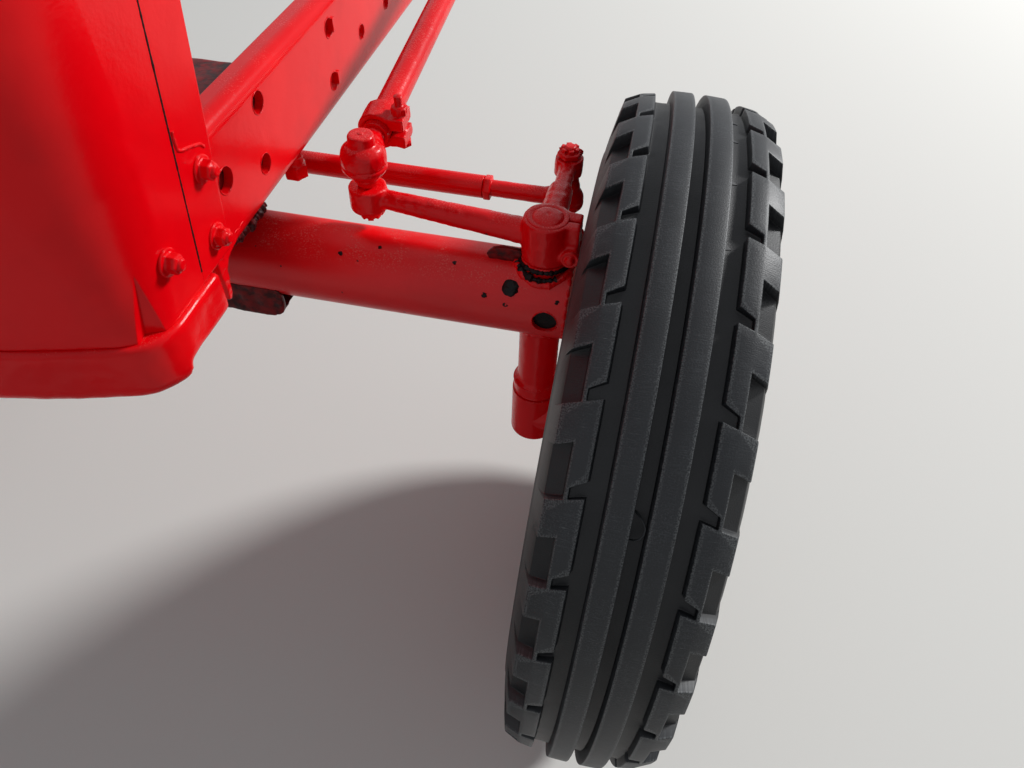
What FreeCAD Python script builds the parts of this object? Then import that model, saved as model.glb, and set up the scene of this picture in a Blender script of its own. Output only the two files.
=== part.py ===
import FreeCAD
import Part
import math
import os

# Front end of a farm tractor: frame rails, nose, radiator, swinging axle, steering linkage, wheels.
# Millimetres. X to the tractor's left, Y to its rear, Z up.
# The origin is the centre of the rear face of the plate that bolts to the engine.

# Layout
axle_ahead = 640.0          # axle centre line ahead of the engine plate
axle_below = 127.5          # axle centre line below the rails' mid height
half_track = 630.0          # tyre mid plane from the tractor's centre line
kingpin_x = 522.0           # kingpin from the tractor's centre line
spindle_drop = 172.0        # stub axle root below the axle centre line
camber = 1.7                # degrees, wheel tops lean outwards
running_fit = 0.05          # radial clearance of a pin that turns
seat_gap = 0.3              # gap between curved faces that seat

# Frame rails, pressed channels with their flanges turned in
rail_face = 257.0           # outer face of each rail from the centre line
rail_height = 117.0
rail_flange = 26.0
rail_wall = 8.0
rail_round = 14.0
rail_overhang = 120.0       # rail ahead of the axle centre line
plate_wall = 12.0           # engine plate
plate_height = 150.0
plate_hole_radius = 8.75
plate_hole_x = 180.0
plate_hole_z = 35.0
plate_window = 62.0         # radius of the opening for the crank pulley
hose_window = 27.0          # radius of the openings that let the bottom hose through

# Rail holes: distance behind the axle, height above the rail's middle, radius
rail_holes = [
    (-71.0, 5.0, 11.5),
    (8.0, 34.0, 10.0),
    (-3.0, -20.0, 9.5),
    (178.0, 29.0, 9.5),
    (172.0, -25.0, 9.5),
    (266.0, -11.0, 8.0),
    (355.0, -12.0, 8.0),
    (430.0, 20.0, 10.0),
    (500.0, -20.0, 10.0),
    (570.0, 20.0, 8.0),
]
lug_behind = 73.0           # stud under each rail, behind the axle centre line
lug_x = 244.0
lug_radius = 9.5
lug_drop = 9.0
lug_nut_radius = 13.0
lug_nut = 14.0

# Axle pivot
pivot_radius = 17.5
pivot_length = 164.0
pivot_head_radius = 27.0
pivot_head = 8.0
bracket_wall = 12.0
bracket_reach = 72.0        # outer faces of the bracket from the axle centre line
bracket_boss = 42.0
bracket_top = 36.0          # top of the bracket above the rails' mid height

# Axle
tube_radius = 41.5
tube_wall = 8.0
tube_beyond = 28.0          # tube end beyond the kingpin
bush_radius = 27.0
bush_length = 108.0
tube_cap = 6.0              # plate that closes each end
tube_hole = 12.0            # round hole in the tube's end, on its front side
tube_hole_beyond = 9.0      # that hole beyond the kingpin
saddle_half = 258.0
saddle_depth = 56.0
saddle_width = 76.0
saddle_wall = 8.0
saddle_corner = 16.0

# Kingpins and their housings
kingpin_radius = 15.0
housing_radius = 21.0
housing_top_radius = 23.5
housing_bottom = 136.0      # housing's lower end below the axle centre line
housing_top = 48.0          # housing's upper end above the axle centre line
collar_radius = 25.0
collar_height = 16.0
thrust_gap = 1.0
knuckle_radius = 26.0
knuckle_below = 30.0        # knuckle's lower end below the stub axle
stub_radius = 18.0
stub_root_radius = 26.0
stub_reach = 146.0          # stub axle's outer end from the kingpin
hub_inner = 52.0            # hub's inner face from the kingpin

# Steering arms
arm_hub_radius = 23.0
arm_hub_height = 42.0
clamp_reach = 31.0
clamp_width = 26.0
clamp_slit = 3.0
clamp_boss_radius = 9.0
clamp_boss_half = 20.0      # half length of the pinch bolt's boss
clamp_boss_x = 25.0         # boss from the kingpin
clamp_boss_up = 12.0        # boss above the arm hub's lower end
arm_length = 140.0          # rearward arms, kingpin to tie rod
arm_root_radius = 14.0
arm_step = 86.0             # where the forging steps down, from the kingpin
arm_step_radius = 12.5
arm_end_radius = 9.0
arm_eye_radius = 15.0
arm_eye_height = 20.0
arm_eye_z = 59.0            # middle of the rearward arms' eyes above the axle centre line
drop_eye_x = 344.0          # drag link eye from the centre line
drop_eye_y = 20.0           # drag link eye behind the axle centre line
drop_eye_radius = 18.5
drop_eye_height = 24.0
drop_eye_z = 72.0
drop_root_radius = 13.0
drop_end_radius = 9.0

# Tie rod and drag link
stud_radius = 7.0
stud_proud = 2.0            # end of a stud beyond its nut
nut_radius = 12.0
nut_height = 10.0
ball_radius = 19.5
ball_height = 28.0
ball_neck = 17.0            # from the tie rod's ball housing to the arm's eye
tie_radius = 12.5
tie_wall = 3.5
tie_shank = 92.0            # bare shank from the ball's middle to the end of the thick tube
shank_radius = 9.0
shank_engaged = 40.0        # shank inside the tube
link_ball_radius = 21.5
link_ball_height = 32.0
link_ball_z = 112.0
link_cap_radius = 12.5
link_cap = 9.0
link_neck = 8.0             # boot of the rear ball joint
link_stud = 34.0            # its stud beyond the boot
neck_radius = 14.0
link_radius = 13.5
link_wall = 3.0
link_slope = 7.0            # degrees, the drag link rises to the rear
link_length = 672.0         # between its ball joints, along the link
link_clamp_radius = 19.0
link_clamp_width = 26.0
link_clamp_ear = 27.0
link_clamp_bolt = 4.0       # radius of its bolt
link_clamp_nut = 8.0

# Wheels
rim_seat = 203.0            # bead seat radius of a 16 inch rim
rim_half = 57.0             # half the width between the flanges
rim_lip = 11.0
rim_flange = 15.0
rim_wall = 4.0
rim_well = 19.0
disc_offset = 18.0          # disc's bolting face outboard of the mid plane
disc_wall = 6.0
disc_flat = 110.0           # radius of the disc's flat middle
disc_rise = 26.0            # its ridge stands out from the bolting face
disc_ridge = 135.0          # inner edge of the ridge
disc_ridge_width = 15.0
stud_circle = 76.2
stud_count = 6
stud_hole = 8.0
centre_hole = 48.0
hub_radius = 42.0
hub_flange_radius = 96.0
hub_flange = 12.0
hub_nose = 46.0
cap_radius = 37.0
cap_length = 34.0

tyre_radius = 356.0
tyre_half = 80.0            # half the section width
tread_half = 69.0
crown_start = 5.0           # tread lower than the crown at the shoulders' inner edges
crown_drop = 14.0           # and at their outer edges
bulge_share = 0.555         # widest point's share of the way from the bead to the tread
rib_inner = 6.2             # edges of the middle ribs from the tyre's mid plane
rib_outer = 25.0
shoulder_inner = 41.0
groove_depth = 12.0
pocket_inner = 55.0         # pockets in the shoulders
pocket_depth = 12.0
pocket_share = 0.59         # share of each pitch that is pocket
lug_count = 31              # lugs around each shoulder
carcass = 12.0

# Nose
nose_half = 262.0
nose_rear = 147.0           # lower end of the cowl's rear edge ahead of the axle
nose_lean = 8.7             # degrees, the cowl's rear edge and the uprights lean back
nose_front = 268.0          # foremost point ahead of the axle
nose_bow_radius = 735.0
nose_corner = 42.0          # corners at the cowl's lower edge
nose_corner_high = 72.0     # corners from the top of the creases up
crease_height = 116.0       # creases in the lower corners
crease_side = 203.0         # a crease's rear edge ahead of the axle
crease_width = 34.0
crease_depth = 11.0
nose_bottom = 84.0          # cowl's lower edge above the axle centre line
nose_height = 500.0
nose_shoulder = 70.0        # rounding of the upper edges seen from the front
nose_brow = 100.0           # rounding of the upper front seen from the side
cowl_wall = 3.0
grille_half = 120.0
grille_low = 70.0           # opening's lower edge above the cowl's lower edge
grille_high = 400.0
grille_corner = 30.0
grille_bars = 13
bar_width = 5.0
bar_depth = 14.0
grille_lap = 14.0
grille_reach = 90.0
lamp_x = 178.0
lamp_height = 390.0
lamp_radius = 44.0
lamp_depth = 46.0
lamp_inset = 18.0

bolster_out = 5.0           # bolster stands out from the cowl
bolster_rear = 131.0        # rear ends of the bolster ahead of the axle
bolster_wall = 30.0
bolster_side = 39.0         # height of its sides
bolster_front = 60.0        # height of its front
bolster_step = 199.0        # front end of the shallower sides ahead of the axle
bolster_round = 18.0
bolster_roll = 4.5          # rolled upper edge

crossbar_wall = 8.0
crossbar_drop = 38.0
crossbar_shelf = 58.0
crossbar_inset = 40.0       # ends of its upright flange inside the rails' faces

upright_wall = 5.0
upright_width = 48.0
upright_height = 440.0

radiator_half = 205.0
radiator_depth = 62.0
radiator_front = 136.0      # radiator's front face ahead of the axle
core_height = 300.0
tank_height = 62.0
spigot_radius = 19.0
spigot_length = 45.0
hose_x = 120.0              # bottom hose from the centre line
top_hose_x = 110.0

axle_y = -axle_ahead
axle_z = -axle_below
X = FreeCAD.Vector(1, 0, 0)
Y = FreeCAD.Vector(0, 1, 0)
Z = FreeCAD.Vector(0, 0, 1)
centre = FreeCAD.Vector(0, 0, 0)


def at(x, y, z):
    """A point given from the axle's centre."""
    return FreeCAD.Vector(x, axle_y + y, axle_z + z)


def outline(corners):
    """Closed wire through (x, y, z, radius) corners, each rounded to its radius."""
    points = [FreeCAD.Vector(*corner[:3]) for corner in corners]
    edges = []
    starts = []
    ends = []
    for i, point in enumerate(points):
        before = (points[i - 1] - point).normalize()
        after = (points[(i + 1) % len(points)] - point).normalize()
        radius = corners[i][3]
        if radius == 0:
            starts.append(point)
            ends.append(point)
            edges.append(None)
            continue
        half = before.getAngle(after) / 2
        reach = radius / math.tan(half)
        start = point + before * reach
        end = point + after * reach
        middle_way = (before + after).normalize()
        middle = point + middle_way * (radius / math.sin(half) - radius)
        starts.append(start)
        ends.append(end)
        edges.append(Part.Arc(start, middle, end).toShape())
    wire = []
    for i, arc in enumerate(edges):
        if arc is not None:
            wire.append(arc)
        follow = (i + 1) % len(points)
        if (starts[follow] - ends[i]).Length > 1e-6:
            wire.append(Part.LineSegment(ends[i], starts[follow]).toShape())
    return Part.Wire(Part.__sortEdges__(wire))


def prism(corners, along):
    """Solid made by pushing a rounded outline along a vector."""
    return Part.Face(outline(corners)).extrude(along)


def rod(radius, start, end):
    """Solid cylinder between two points."""
    way = end - start
    return Part.makeCylinder(radius, way.Length, start, way)


def pipe(outer, inner, start, end):
    """Hollow cylinder between two points."""
    return rod(outer, start, end).cut(rod(inner, start, end))


def cone(radius_a, radius_b, start, end):
    """Solid cone frustum between two points."""
    way = end - start
    return Part.makeCone(radius_a, radius_b, way.Length, start, way)


def hexagon(radius, height, foot):
    """Upright six-sided prism, radius to its corners."""
    corners = []
    for k in range(6):
        angle = math.radians(60 * k)
        x = foot.x + radius * math.cos(angle)
        y = foot.y + radius * math.sin(angle)
        corners.append((x, y, foot.z, 0))
    return prism(corners, Z * height)


def ring(profile, start, way):
    """Solid turned about an axis from (along, radius) points."""
    points = [FreeCAD.Vector(along, radius, 0) for along, radius in profile]
    face = Part.Face(Part.makePolygon(points + [points[0]]))
    solid = face.revolve(centre, X, 360)
    turn = FreeCAD.Rotation(X, way)
    solid.Placement = FreeCAD.Placement(start, turn)
    return solid


def mirrored(shape):
    """The same piece on the tractor's right side."""
    return shape.mirror(centre, X)


def fused(first, *others):
    """One solid from pieces that overlap."""
    return first.fuse(list(others)).removeSplitter()


def rail():
    low = -rail_height / 2
    high = rail_height / 2
    inner = rail_face - rail_flange
    web = rail_face - rail_wall
    inside = rail_round - rail_wall
    front = axle_y - rail_overhang
    corners = [
        (rail_face, front, low, rail_round),
        (rail_face, front, high, rail_round),
        (inner, front, high, 0),
        (inner, front, high - rail_wall, 0),
        (web, front, high - rail_wall, inside),
        (web, front, low + rail_wall, inside),
        (inner, front, low + rail_wall, 0),
        (inner, front, low, 0),
    ]
    channel = prism(corners, Y * (-plate_wall - front))
    through = 3 * rail_wall
    for behind, up, radius in rail_holes:
        start = FreeCAD.Vector(web - rail_wall, axle_y + behind, up)
        channel = channel.cut(rod(radius, start, start + X * through))
    return channel


def engine_plate():
    half = plate_height / 2
    corners = [
        (-rail_face, -plate_wall, -half, 15),
        (rail_face, -plate_wall, -half, 15),
        (rail_face, -plate_wall, half, 15),
        (-rail_face, -plate_wall, half, 15),
    ]
    plate = prism(corners, Y * plate_wall)
    for x in (-plate_hole_x, plate_hole_x):
        for z in (-plate_hole_z, plate_hole_z):
            start = FreeCAD.Vector(x, -2 * plate_wall, z)
            plate = plate.cut(rod(plate_hole_radius, start, start + Y * 3 * plate_wall))
    hose_z = radiator_low() - axle_below + tank_height / 2
    windows = [(0, 0, plate_window), (-hose_x, hose_z, hose_window), (hose_x, hose_z, hose_window)]
    for x, z, radius in windows:
        start = FreeCAD.Vector(x, -2 * plate_wall, z)
        plate = plate.cut(rod(radius, start, start + Y * 3 * plate_wall))
    return plate


def rail_lug():
    top = radiator_low()
    low = top - lug_drop - lug_nut
    stem = rod(lug_radius, at(lug_x, lug_behind, low), at(lug_x, lug_behind, top))
    return fused(stem, hexagon(lug_nut_radius, lug_nut, at(lug_x, lug_behind, low)))


def pivot_bracket():
    web = rail_face - rail_wall
    flange = rail_face - rail_flange - seat_gap
    inside = rail_round - rail_wall
    high = axle_below + bracket_top
    low = radiator_low() + rail_wall
    cheeks = []
    for y in (-bracket_reach, bracket_reach - bracket_wall):
        corners = [
            (-web, axle_y + y, axle_z + low, inside),
            (-flange, axle_y + y, axle_z + low, 0),
            (-bracket_boss, axle_y + y, axle_z - bracket_boss, bracket_boss - 2),
            (bracket_boss, axle_y + y, axle_z - bracket_boss, bracket_boss - 2),
            (flange, axle_y + y, axle_z + low, 0),
            (web, axle_y + y, axle_z + low, inside),
            (web, axle_y + y, axle_z + high, 0),
            (-web, axle_y + y, axle_z + high, 0),
        ]
        cheeks.append(prism(corners, Y * bracket_wall))
    roof = Part.makeBox(2 * web, 2 * bracket_reach, bracket_wall,
                        at(-web, -bracket_reach, high - bracket_wall))
    pads = []
    for side in (-1, 1):
        pads.append(prism([
            (side * web, axle_y - bracket_reach, axle_z + low, inside),
            (side * (web - bracket_wall), axle_y - bracket_reach, axle_z + low, 0),
            (side * (web - bracket_wall), axle_y - bracket_reach, axle_z + high, 0),
            (side * web, axle_y - bracket_reach, axle_z + high, 0),
        ], Y * (2 * bracket_reach)))
    solid = fused(cheeks[0], cheeks[1], roof, *pads)
    bores = [rod(pivot_radius + running_fit, at(0, -pivot_length, 0), at(0, pivot_length, 0))]
    window_z = radiator_low() + tank_height / 2
    for x in (-hose_x, hose_x):
        bores.append(rod(hose_window, at(x, -pivot_length, window_z), at(x, pivot_length, window_z)))
    return solid.cut(bores)


def pivot_pin():
    half = pivot_length / 2
    front = bracket_reach + seat_gap
    pin = rod(pivot_radius, at(0, -front, 0), at(0, half, 0))
    head = rod(pivot_head_radius, at(0, -front - pivot_head, 0), at(0, -front, 0))
    return fused(pin, head)


def axle_tube():
    end = kingpin_x + tube_beyond
    inner = end - tube_cap
    half = bush_length / 2
    solid = rod(tube_radius, at(-end, 0, 0), at(end, 0, 0))
    solid = solid.cut(rod(tube_radius - tube_wall, at(-inner, 0, 0), at(inner, 0, 0)))
    solid = solid.fuse(rod(bush_radius, at(0, -half, 0), at(0, half, 0)))
    solid = solid.cut(rod(pivot_radius + running_fit, at(0, -bush_length, 0), at(0, bush_length, 0)))
    for sign in (-1, 1):
        x = sign * kingpin_x
        solid = solid.cut(rod(housing_radius, at(x, 0, -2 * tube_radius), at(x, 0, 2 * tube_radius)))
        hole_x = x + sign * tube_hole_beyond
        solid = solid.cut(rod(tube_hole, at(hole_x, -2 * tube_radius, 0), at(hole_x, 0, 0)))
    return solid


def axle_saddle():
    half = saddle_width / 2
    y = axle_y - half
    corners = [
        (-saddle_half, y, axle_z, 0),
        (-saddle_half, y, axle_z - saddle_depth, saddle_corner),
        (saddle_half, y, axle_z - saddle_depth, saddle_corner),
        (saddle_half, y, axle_z, 0),
    ]
    block = prism(corners, Y * saddle_width)
    inner = [
        (-saddle_half - saddle_wall, y + saddle_wall, axle_z, 0),
        (-saddle_half - saddle_wall, y + saddle_wall, axle_z - saddle_depth + saddle_wall, 0),
        (saddle_half + saddle_wall, y + saddle_wall, axle_z - saddle_depth + saddle_wall, 0),
        (saddle_half + saddle_wall, y + saddle_wall, axle_z, 0),
    ]
    block = block.cut(prism(inner, Y * (saddle_width - 2 * saddle_wall)))
    reach = saddle_half + saddle_wall
    bush_way = at(0, half + 1, 0) - at(0, 0, 0)
    bush = rod(bush_radius, at(0, 0, 0) - bush_way, at(0, 0, 0) + bush_way)
    return block.cut([rod(tube_radius, at(-reach, 0, 0), at(reach, 0, 0)), bush])


def kingpin_housing():
    x = kingpin_x
    body = rod(housing_radius, at(x, 0, -housing_bottom), at(x, 0, housing_top))
    low = math.sqrt(tube_radius ** 2 - housing_top_radius ** 2) - 1
    top = rod(housing_top_radius, at(x, 0, low), at(x, 0, housing_top))
    collar = rod(collar_radius, at(x, 0, -housing_bottom), at(x, 0, collar_height - housing_bottom))
    reach = kingpin_x + tube_beyond
    top = top.cut(rod(tube_radius, at(x - reach, 0, 0), at(x + reach, 0, 0)))
    solid = fused(body, top, collar)
    bore = rod(kingpin_radius + running_fit, at(x, 0, -housing_bottom), at(x, 0, housing_top))
    return solid.cut(bore)


def spindle_way():
    angle = math.radians(camber)
    return FreeCAD.Vector(math.cos(angle), 0, -math.sin(angle))


def along_spindle(distance):
    return at(kingpin_x, 0, -spindle_drop) + spindle_way() * distance


def spindle():
    x = kingpin_x
    top = housing_top + thrust_gap + arm_hub_height
    pin = rod(kingpin_radius, at(x, 0, -spindle_drop), at(x, 0, top))
    shoulder = -housing_bottom - thrust_gap
    knuckle = rod(knuckle_radius, at(x, 0, -spindle_drop - knuckle_below), at(x, 0, shoulder))
    root = rod(stub_root_radius, along_spindle(0), along_spindle(hub_inner - thrust_gap))
    stub = rod(stub_radius, along_spindle(0), along_spindle(stub_reach))
    return fused(pin, knuckle, root, stub)


def arm_hub():
    x = kingpin_x
    low = housing_top + thrust_gap
    high = low + arm_hub_height
    barrel = rod(arm_hub_radius, at(x, 0, low), at(x, 0, high))
    ears = Part.makeBox(clamp_reach, clamp_width, arm_hub_height, at(x, -clamp_width / 2, low))
    boss_x = x + clamp_boss_x
    boss_z = low + clamp_boss_up
    boss = rod(clamp_boss_radius, at(boss_x, -clamp_boss_half, boss_z), at(boss_x, clamp_boss_half, boss_z))
    return fused(barrel, ears, boss)


def bored_arm(solid):
    x = kingpin_x
    low = housing_top + thrust_gap
    high = low + arm_hub_height
    solid = solid.cut(rod(kingpin_radius, at(x, 0, low), at(x, 0, high)))
    slit_length = max(clamp_reach, clamp_boss_x + clamp_boss_radius) + 1
    slit = Part.makeBox(slit_length, clamp_slit, arm_hub_height, at(x, -clamp_slit / 2, low))
    return solid.cut(slit)


def rear_arm():
    x = kingpin_x
    low = arm_eye_z - arm_eye_height / 2
    high = arm_eye_z + arm_eye_height / 2
    eye = rod(arm_eye_radius, at(x, arm_length, low), at(x, arm_length, high))
    root_z = housing_top + thrust_gap + arm_hub_height / 2
    root = at(x, 0, root_z)
    end = at(x, arm_length, arm_eye_z)
    step = root + (end - root) * (arm_step / arm_length)
    solid = fused(eye, cone(arm_root_radius, arm_step_radius, root, step), rod(arm_end_radius, root, end))
    return solid.cut(rod(stud_radius + running_fit, at(x, arm_length, low - 5), at(x, arm_length, high + 5)))


def drop_arm():
    low = drop_eye_z - drop_eye_height / 2
    high = drop_eye_z + drop_eye_height / 2
    eye = rod(drop_eye_radius, at(drop_eye_x, drop_eye_y, low), at(drop_eye_x, drop_eye_y, high))
    root_z = housing_top + thrust_gap + arm_hub_height / 2
    beam = cone(drop_root_radius, drop_end_radius,
                at(kingpin_x, 0, root_z), at(drop_eye_x, drop_eye_y, drop_eye_z))
    solid = fused(eye, beam)
    bore = rod(stud_radius + running_fit, at(drop_eye_x, drop_eye_y, low - 5),
               at(drop_eye_x, drop_eye_y, high + 5))
    return solid.cut(bore)


def steering_arm(with_drag_link):
    pieces = [rear_arm()]
    if with_drag_link:
        pieces.append(drop_arm())
    return bored_arm(fused(arm_hub(), *pieces))


def tie_rod_tube():
    z = tie_height()
    end = kingpin_x - tie_shank
    return pipe(tie_radius, tie_radius - tie_wall, at(-end, arm_length, z), at(end, arm_length, z))


def tie_height():
    return arm_eye_z - arm_eye_height / 2 - ball_neck - ball_height / 2


def ball_housing(radius, height, middle, way):
    """Barrel-shaped forging, wider below its middle's seam than at its ends."""
    half = height / 2
    profile = [(-half, 0), (-half, 0.66 * radius), (-0.45 * half, radius), (0.4 * half, radius),
               (half, 0.72 * radius), (half, 0)]
    return ring(profile, middle, way)


def tie_rod_end():
    x = kingpin_x
    z = tie_height()
    ball = ball_housing(ball_radius, ball_height, at(x, arm_length, z), Z)
    eye_low = arm_eye_z - arm_eye_height / 2
    neck = cone(neck_radius, stud_radius + 2, at(x, arm_length, z + ball_height / 2),
                at(x, arm_length, eye_low - thrust_gap))
    eye_top = arm_eye_z + arm_eye_height / 2 + thrust_gap
    stud = rod(stud_radius, at(x, arm_length, z), at(x, arm_length, eye_top + nut_height + stud_proud))
    nut = hexagon(nut_radius, nut_height, at(x, arm_length, eye_top))
    shank = rod(shank_radius, at(x - tie_shank - shank_engaged, arm_length, z), at(x, arm_length, z))
    return fused(ball, neck, stud, nut, shank)


def link_way():
    angle = math.radians(link_slope)
    return FreeCAD.Vector(0, math.cos(angle), math.sin(angle))


def along_link(distance):
    return at(drop_eye_x, drop_eye_y, link_ball_z) + link_way() * distance


def drag_link_tube():
    start = along_link(link_ball_radius + 12)
    end = along_link(link_length - link_ball_radius - 12)
    return pipe(link_radius, link_radius - link_wall, start, end)


def drag_link_end_front():
    half = link_ball_height / 2
    x = drop_eye_x
    y = drop_eye_y
    ball = ball_housing(link_ball_radius, link_ball_height, at(x, y, link_ball_z), Z)
    cap = rod(link_cap_radius, at(x, y, link_ball_z + half), at(x, y, link_ball_z + half + link_cap))
    eye_top = drop_eye_z + drop_eye_height / 2 + thrust_gap
    neck = cone(stud_radius + 2, neck_radius, at(x, y, eye_top), at(x, y, link_ball_z - half))
    nut_low = drop_eye_z - drop_eye_height / 2 - thrust_gap - nut_height
    stud = rod(stud_radius, at(x, y, nut_low - stud_proud), at(x, y, link_ball_z))
    nut = hexagon(nut_radius, nut_height, at(x, y, nut_low))
    shank = rod(link_radius - link_wall, along_link(0), along_link(link_ball_radius + 60))
    return fused(ball, cap, neck, stud, nut, shank)


def drag_link_clamp():
    start = along_link(link_ball_radius + 18)
    end = along_link(link_ball_radius + 18 + link_clamp_width)
    band = rod(link_clamp_radius, start, end)
    turn = FreeCAD.Rotation(Y, link_way())
    ears = Part.makeBox(link_clamp_ear, link_clamp_width, 30, FreeCAD.Vector(0, 0, -15))
    ears.Placement = FreeCAD.Placement(start, turn)
    slit = Part.makeBox(link_clamp_ear, link_clamp_width, 6, FreeCAD.Vector(0, 0, -3))
    slit.Placement = FreeCAD.Placement(start, turn)
    solid = fused(band, ears).cut([rod(link_radius + running_fit, start, end), slit])
    bolt_x = link_clamp_ear - link_clamp_bolt - 2
    foot = FreeCAD.Vector(bolt_x, link_clamp_width / 2, -15)
    bolt = rod(link_clamp_bolt, foot, foot + Z * (30 + link_clamp_nut + stud_proud))
    nut = hexagon(link_clamp_nut, link_clamp_nut, foot + Z * 30)
    head = hexagon(link_clamp_nut, link_clamp_bolt, foot - Z * link_clamp_bolt)
    bolt = fused(bolt, nut, head)
    bolt.Placement = FreeCAD.Placement(start, turn)
    return fused(solid, bolt)


def drag_link_end_rear():
    eye = along_link(link_length)
    half = link_ball_height / 2
    ball = ball_housing(link_ball_radius, link_ball_height, eye, X * -1)
    shank_start = along_link(link_length - link_ball_radius - 60)
    shank = rod(link_radius - link_wall, shank_start, eye)
    neck = cone(neck_radius, stud_radius + 2, eye - X * half, eye - X * (half + link_neck))
    stud = rod(stud_radius, eye, eye - X * (half + link_neck + link_stud))
    return fused(ball, shank, neck, stud)


def wheel_centre():
    return along_spindle((half_track - kingpin_x) / math.cos(math.radians(camber)))


def rim():
    seat = rim_seat - seat_gap
    inner = seat - rim_wall
    lip = rim_half + rim_lip
    edge = seat + rim_flange
    well = seat - rim_well
    profile = [
        (-lip, edge - 5), (-lip, edge), (-lip + rim_wall, edge), (-rim_half, edge - 4),
        (-rim_half, seat), (-rim_half + 26, seat), (-rim_half + 36, well), (8, well),
        (18, seat), (rim_half, seat), (rim_half, edge - 4), (lip - rim_wall, edge),
        (lip, edge), (lip, edge - 5), (rim_half + rim_wall, edge - 9),
        (rim_half + rim_wall, inner), (16, inner), (6, well - rim_wall),
        (-rim_half + 34, well - rim_wall), (-rim_half + 24, inner),
        (-rim_half - rim_wall, inner), (-rim_half - rim_wall, edge - 9),
    ]
    barrel = ring(profile, wheel_centre(), spindle_way())
    face = disc_offset
    outer = well - rim_wall + 1
    ridge = face + disc_rise
    ridge_end = disc_ridge + disc_ridge_width
    lag = disc_wall / 2
    disc_profile = [
        (face, centre_hole), (face, disc_flat), (ridge, disc_ridge), (ridge, ridge_end),
        (0, outer), (-2 * disc_wall, outer), (ridge - disc_wall - 2, ridge_end - 2 * lag),
        (ridge - disc_wall, disc_ridge + lag), (face - disc_wall, disc_flat + lag / 2),
        (face - disc_wall, centre_hole),
    ]
    disc = ring(disc_profile, wheel_centre(), spindle_way())
    solid = fused(barrel, disc)
    return stud_holes(solid, face - 2 * disc_wall, face + disc_wall)


def stud_holes(solid, inner, outer):
    way = spindle_way()
    across = FreeCAD.Vector(-way.z, 0, way.x)
    for k in range(stud_count):
        angle = math.radians(360 * k / stud_count)
        side = across * (stud_circle * math.cos(angle)) + Y * (stud_circle * math.sin(angle))
        start = wheel_centre() + way * inner + side
        solid = solid.cut(rod(stud_hole, start, wheel_centre() + way * outer + side))
    return solid


def hub():
    way = spindle_way()
    offset = (half_track - kingpin_x) / math.cos(math.radians(camber))
    inner = hub_inner - offset
    face = disc_offset - disc_wall
    profile = [
        (inner, stub_radius + running_fit), (inner, hub_radius), (face - hub_flange - 8, hub_radius),
        (face - hub_flange, hub_radius + 8), (face - hub_flange, hub_flange_radius),
        (face, hub_flange_radius), (face, centre_hole - 1), (face + 14, centre_hole - 1),
        (hub_nose, cap_radius), (hub_nose, stub_radius + running_fit),
    ]
    return stud_holes(ring(profile, wheel_centre(), way), face - 2 * hub_flange, face + 1)


def hub_cap():
    profile = [
        (hub_nose, 0), (hub_nose, cap_radius), (hub_nose + cap_length * 0.6, cap_radius),
        (hub_nose + cap_length * 0.9, cap_radius * 0.75), (hub_nose + cap_length, cap_radius * 0.3),
        (hub_nose + cap_length, 0),
    ]
    return ring(profile, wheel_centre(), spindle_way())


def tyre_side(side):
    """Faces of one pitch of the tread and one side wall, as (step, out, radius) corners."""
    floor = tyre_radius - groove_depth
    high = tyre_radius - crown_start
    low = tyre_radius - crown_drop
    middle = high + (low - high) * (pocket_inner - shoulder_inner) / (tread_half - shoulder_inner)
    bulge_radius = rim_seat + bulge_share * (tyre_radius - rim_seat)
    lean = (tyre_half - tread_half) / (low - bulge_radius)
    pocket_out = tread_half + pocket_depth * lean
    pocket_high = middle - pocket_depth
    pocket_low = low - pocket_depth
    bead = rim_half - seat_gap
    bead_low = rim_seat / math.cos(math.pi / lug_count)
    bead_high = rim_seat + rim_flange + 2
    split = pocket_share
    faces = []
    strips = [
        ((0, floor), (rib_inner, tyre_radius)), ((rib_inner, tyre_radius), (rib_outer, tyre_radius)),
        ((rib_outer, tyre_radius), (rib_outer, floor)), ((rib_outer, floor), (shoulder_inner, floor)),
        ((shoulder_inner, floor), (shoulder_inner, high)),
    ]
    for near, far in strips:
        for start, end in ((0, split), (split, 1)):
            faces.append([(start, *near), (end, *near), (end, *far), (start, *far)])
    faces += [
        [(0, shoulder_inner, high), (split, shoulder_inner, high),
         (split, pocket_inner, middle), (0, pocket_inner, middle)],
        [(split, shoulder_inner, high), (1, shoulder_inner, high), (1, pocket_inner, middle),
         (1, tread_half, low), (split, tread_half, low), (split, pocket_inner, middle)],
        [(0, pocket_inner, middle), (split, pocket_inner, middle),
         (split, pocket_inner, pocket_high), (0, pocket_inner, pocket_high)],
        [(0, pocket_inner, pocket_high), (split, pocket_inner, pocket_high),
         (split, pocket_out, pocket_low), (0, pocket_out, pocket_low)],
        [(split, tread_half, low), (1, tread_half, low),
         (1, pocket_out, pocket_low), (split, pocket_out, pocket_low)],
        [(0, pocket_out, pocket_low), (split, pocket_out, pocket_low), (0, tyre_half, bulge_radius)],
        [(split, pocket_out, pocket_low), (1, tyre_half, bulge_radius), (0, tyre_half, bulge_radius)],
        [(split, pocket_out, pocket_low), (1, pocket_out, pocket_low), (1, tyre_half, bulge_radius)],
    ]
    for step in (split, 1):
        faces.append([(step, pocket_inner, middle), (step, tread_half, low),
                      (step, pocket_out, pocket_low), (step, pocket_inner, pocket_high)])
    rings = [(tyre_half, bulge_radius), (bead, bead_high), (bead - carcass, bead_low),
             (tyre_half - carcass, bulge_radius), (0, tyre_radius - 2 * carcass)]
    for near, far in zip(rings, rings[1:]):
        faces.append([(0, *near), (1, *near), (1, *far), (0, *far)])
    return [[(step, side * out, radius) for step, out, radius in face] for face in faces]


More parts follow.
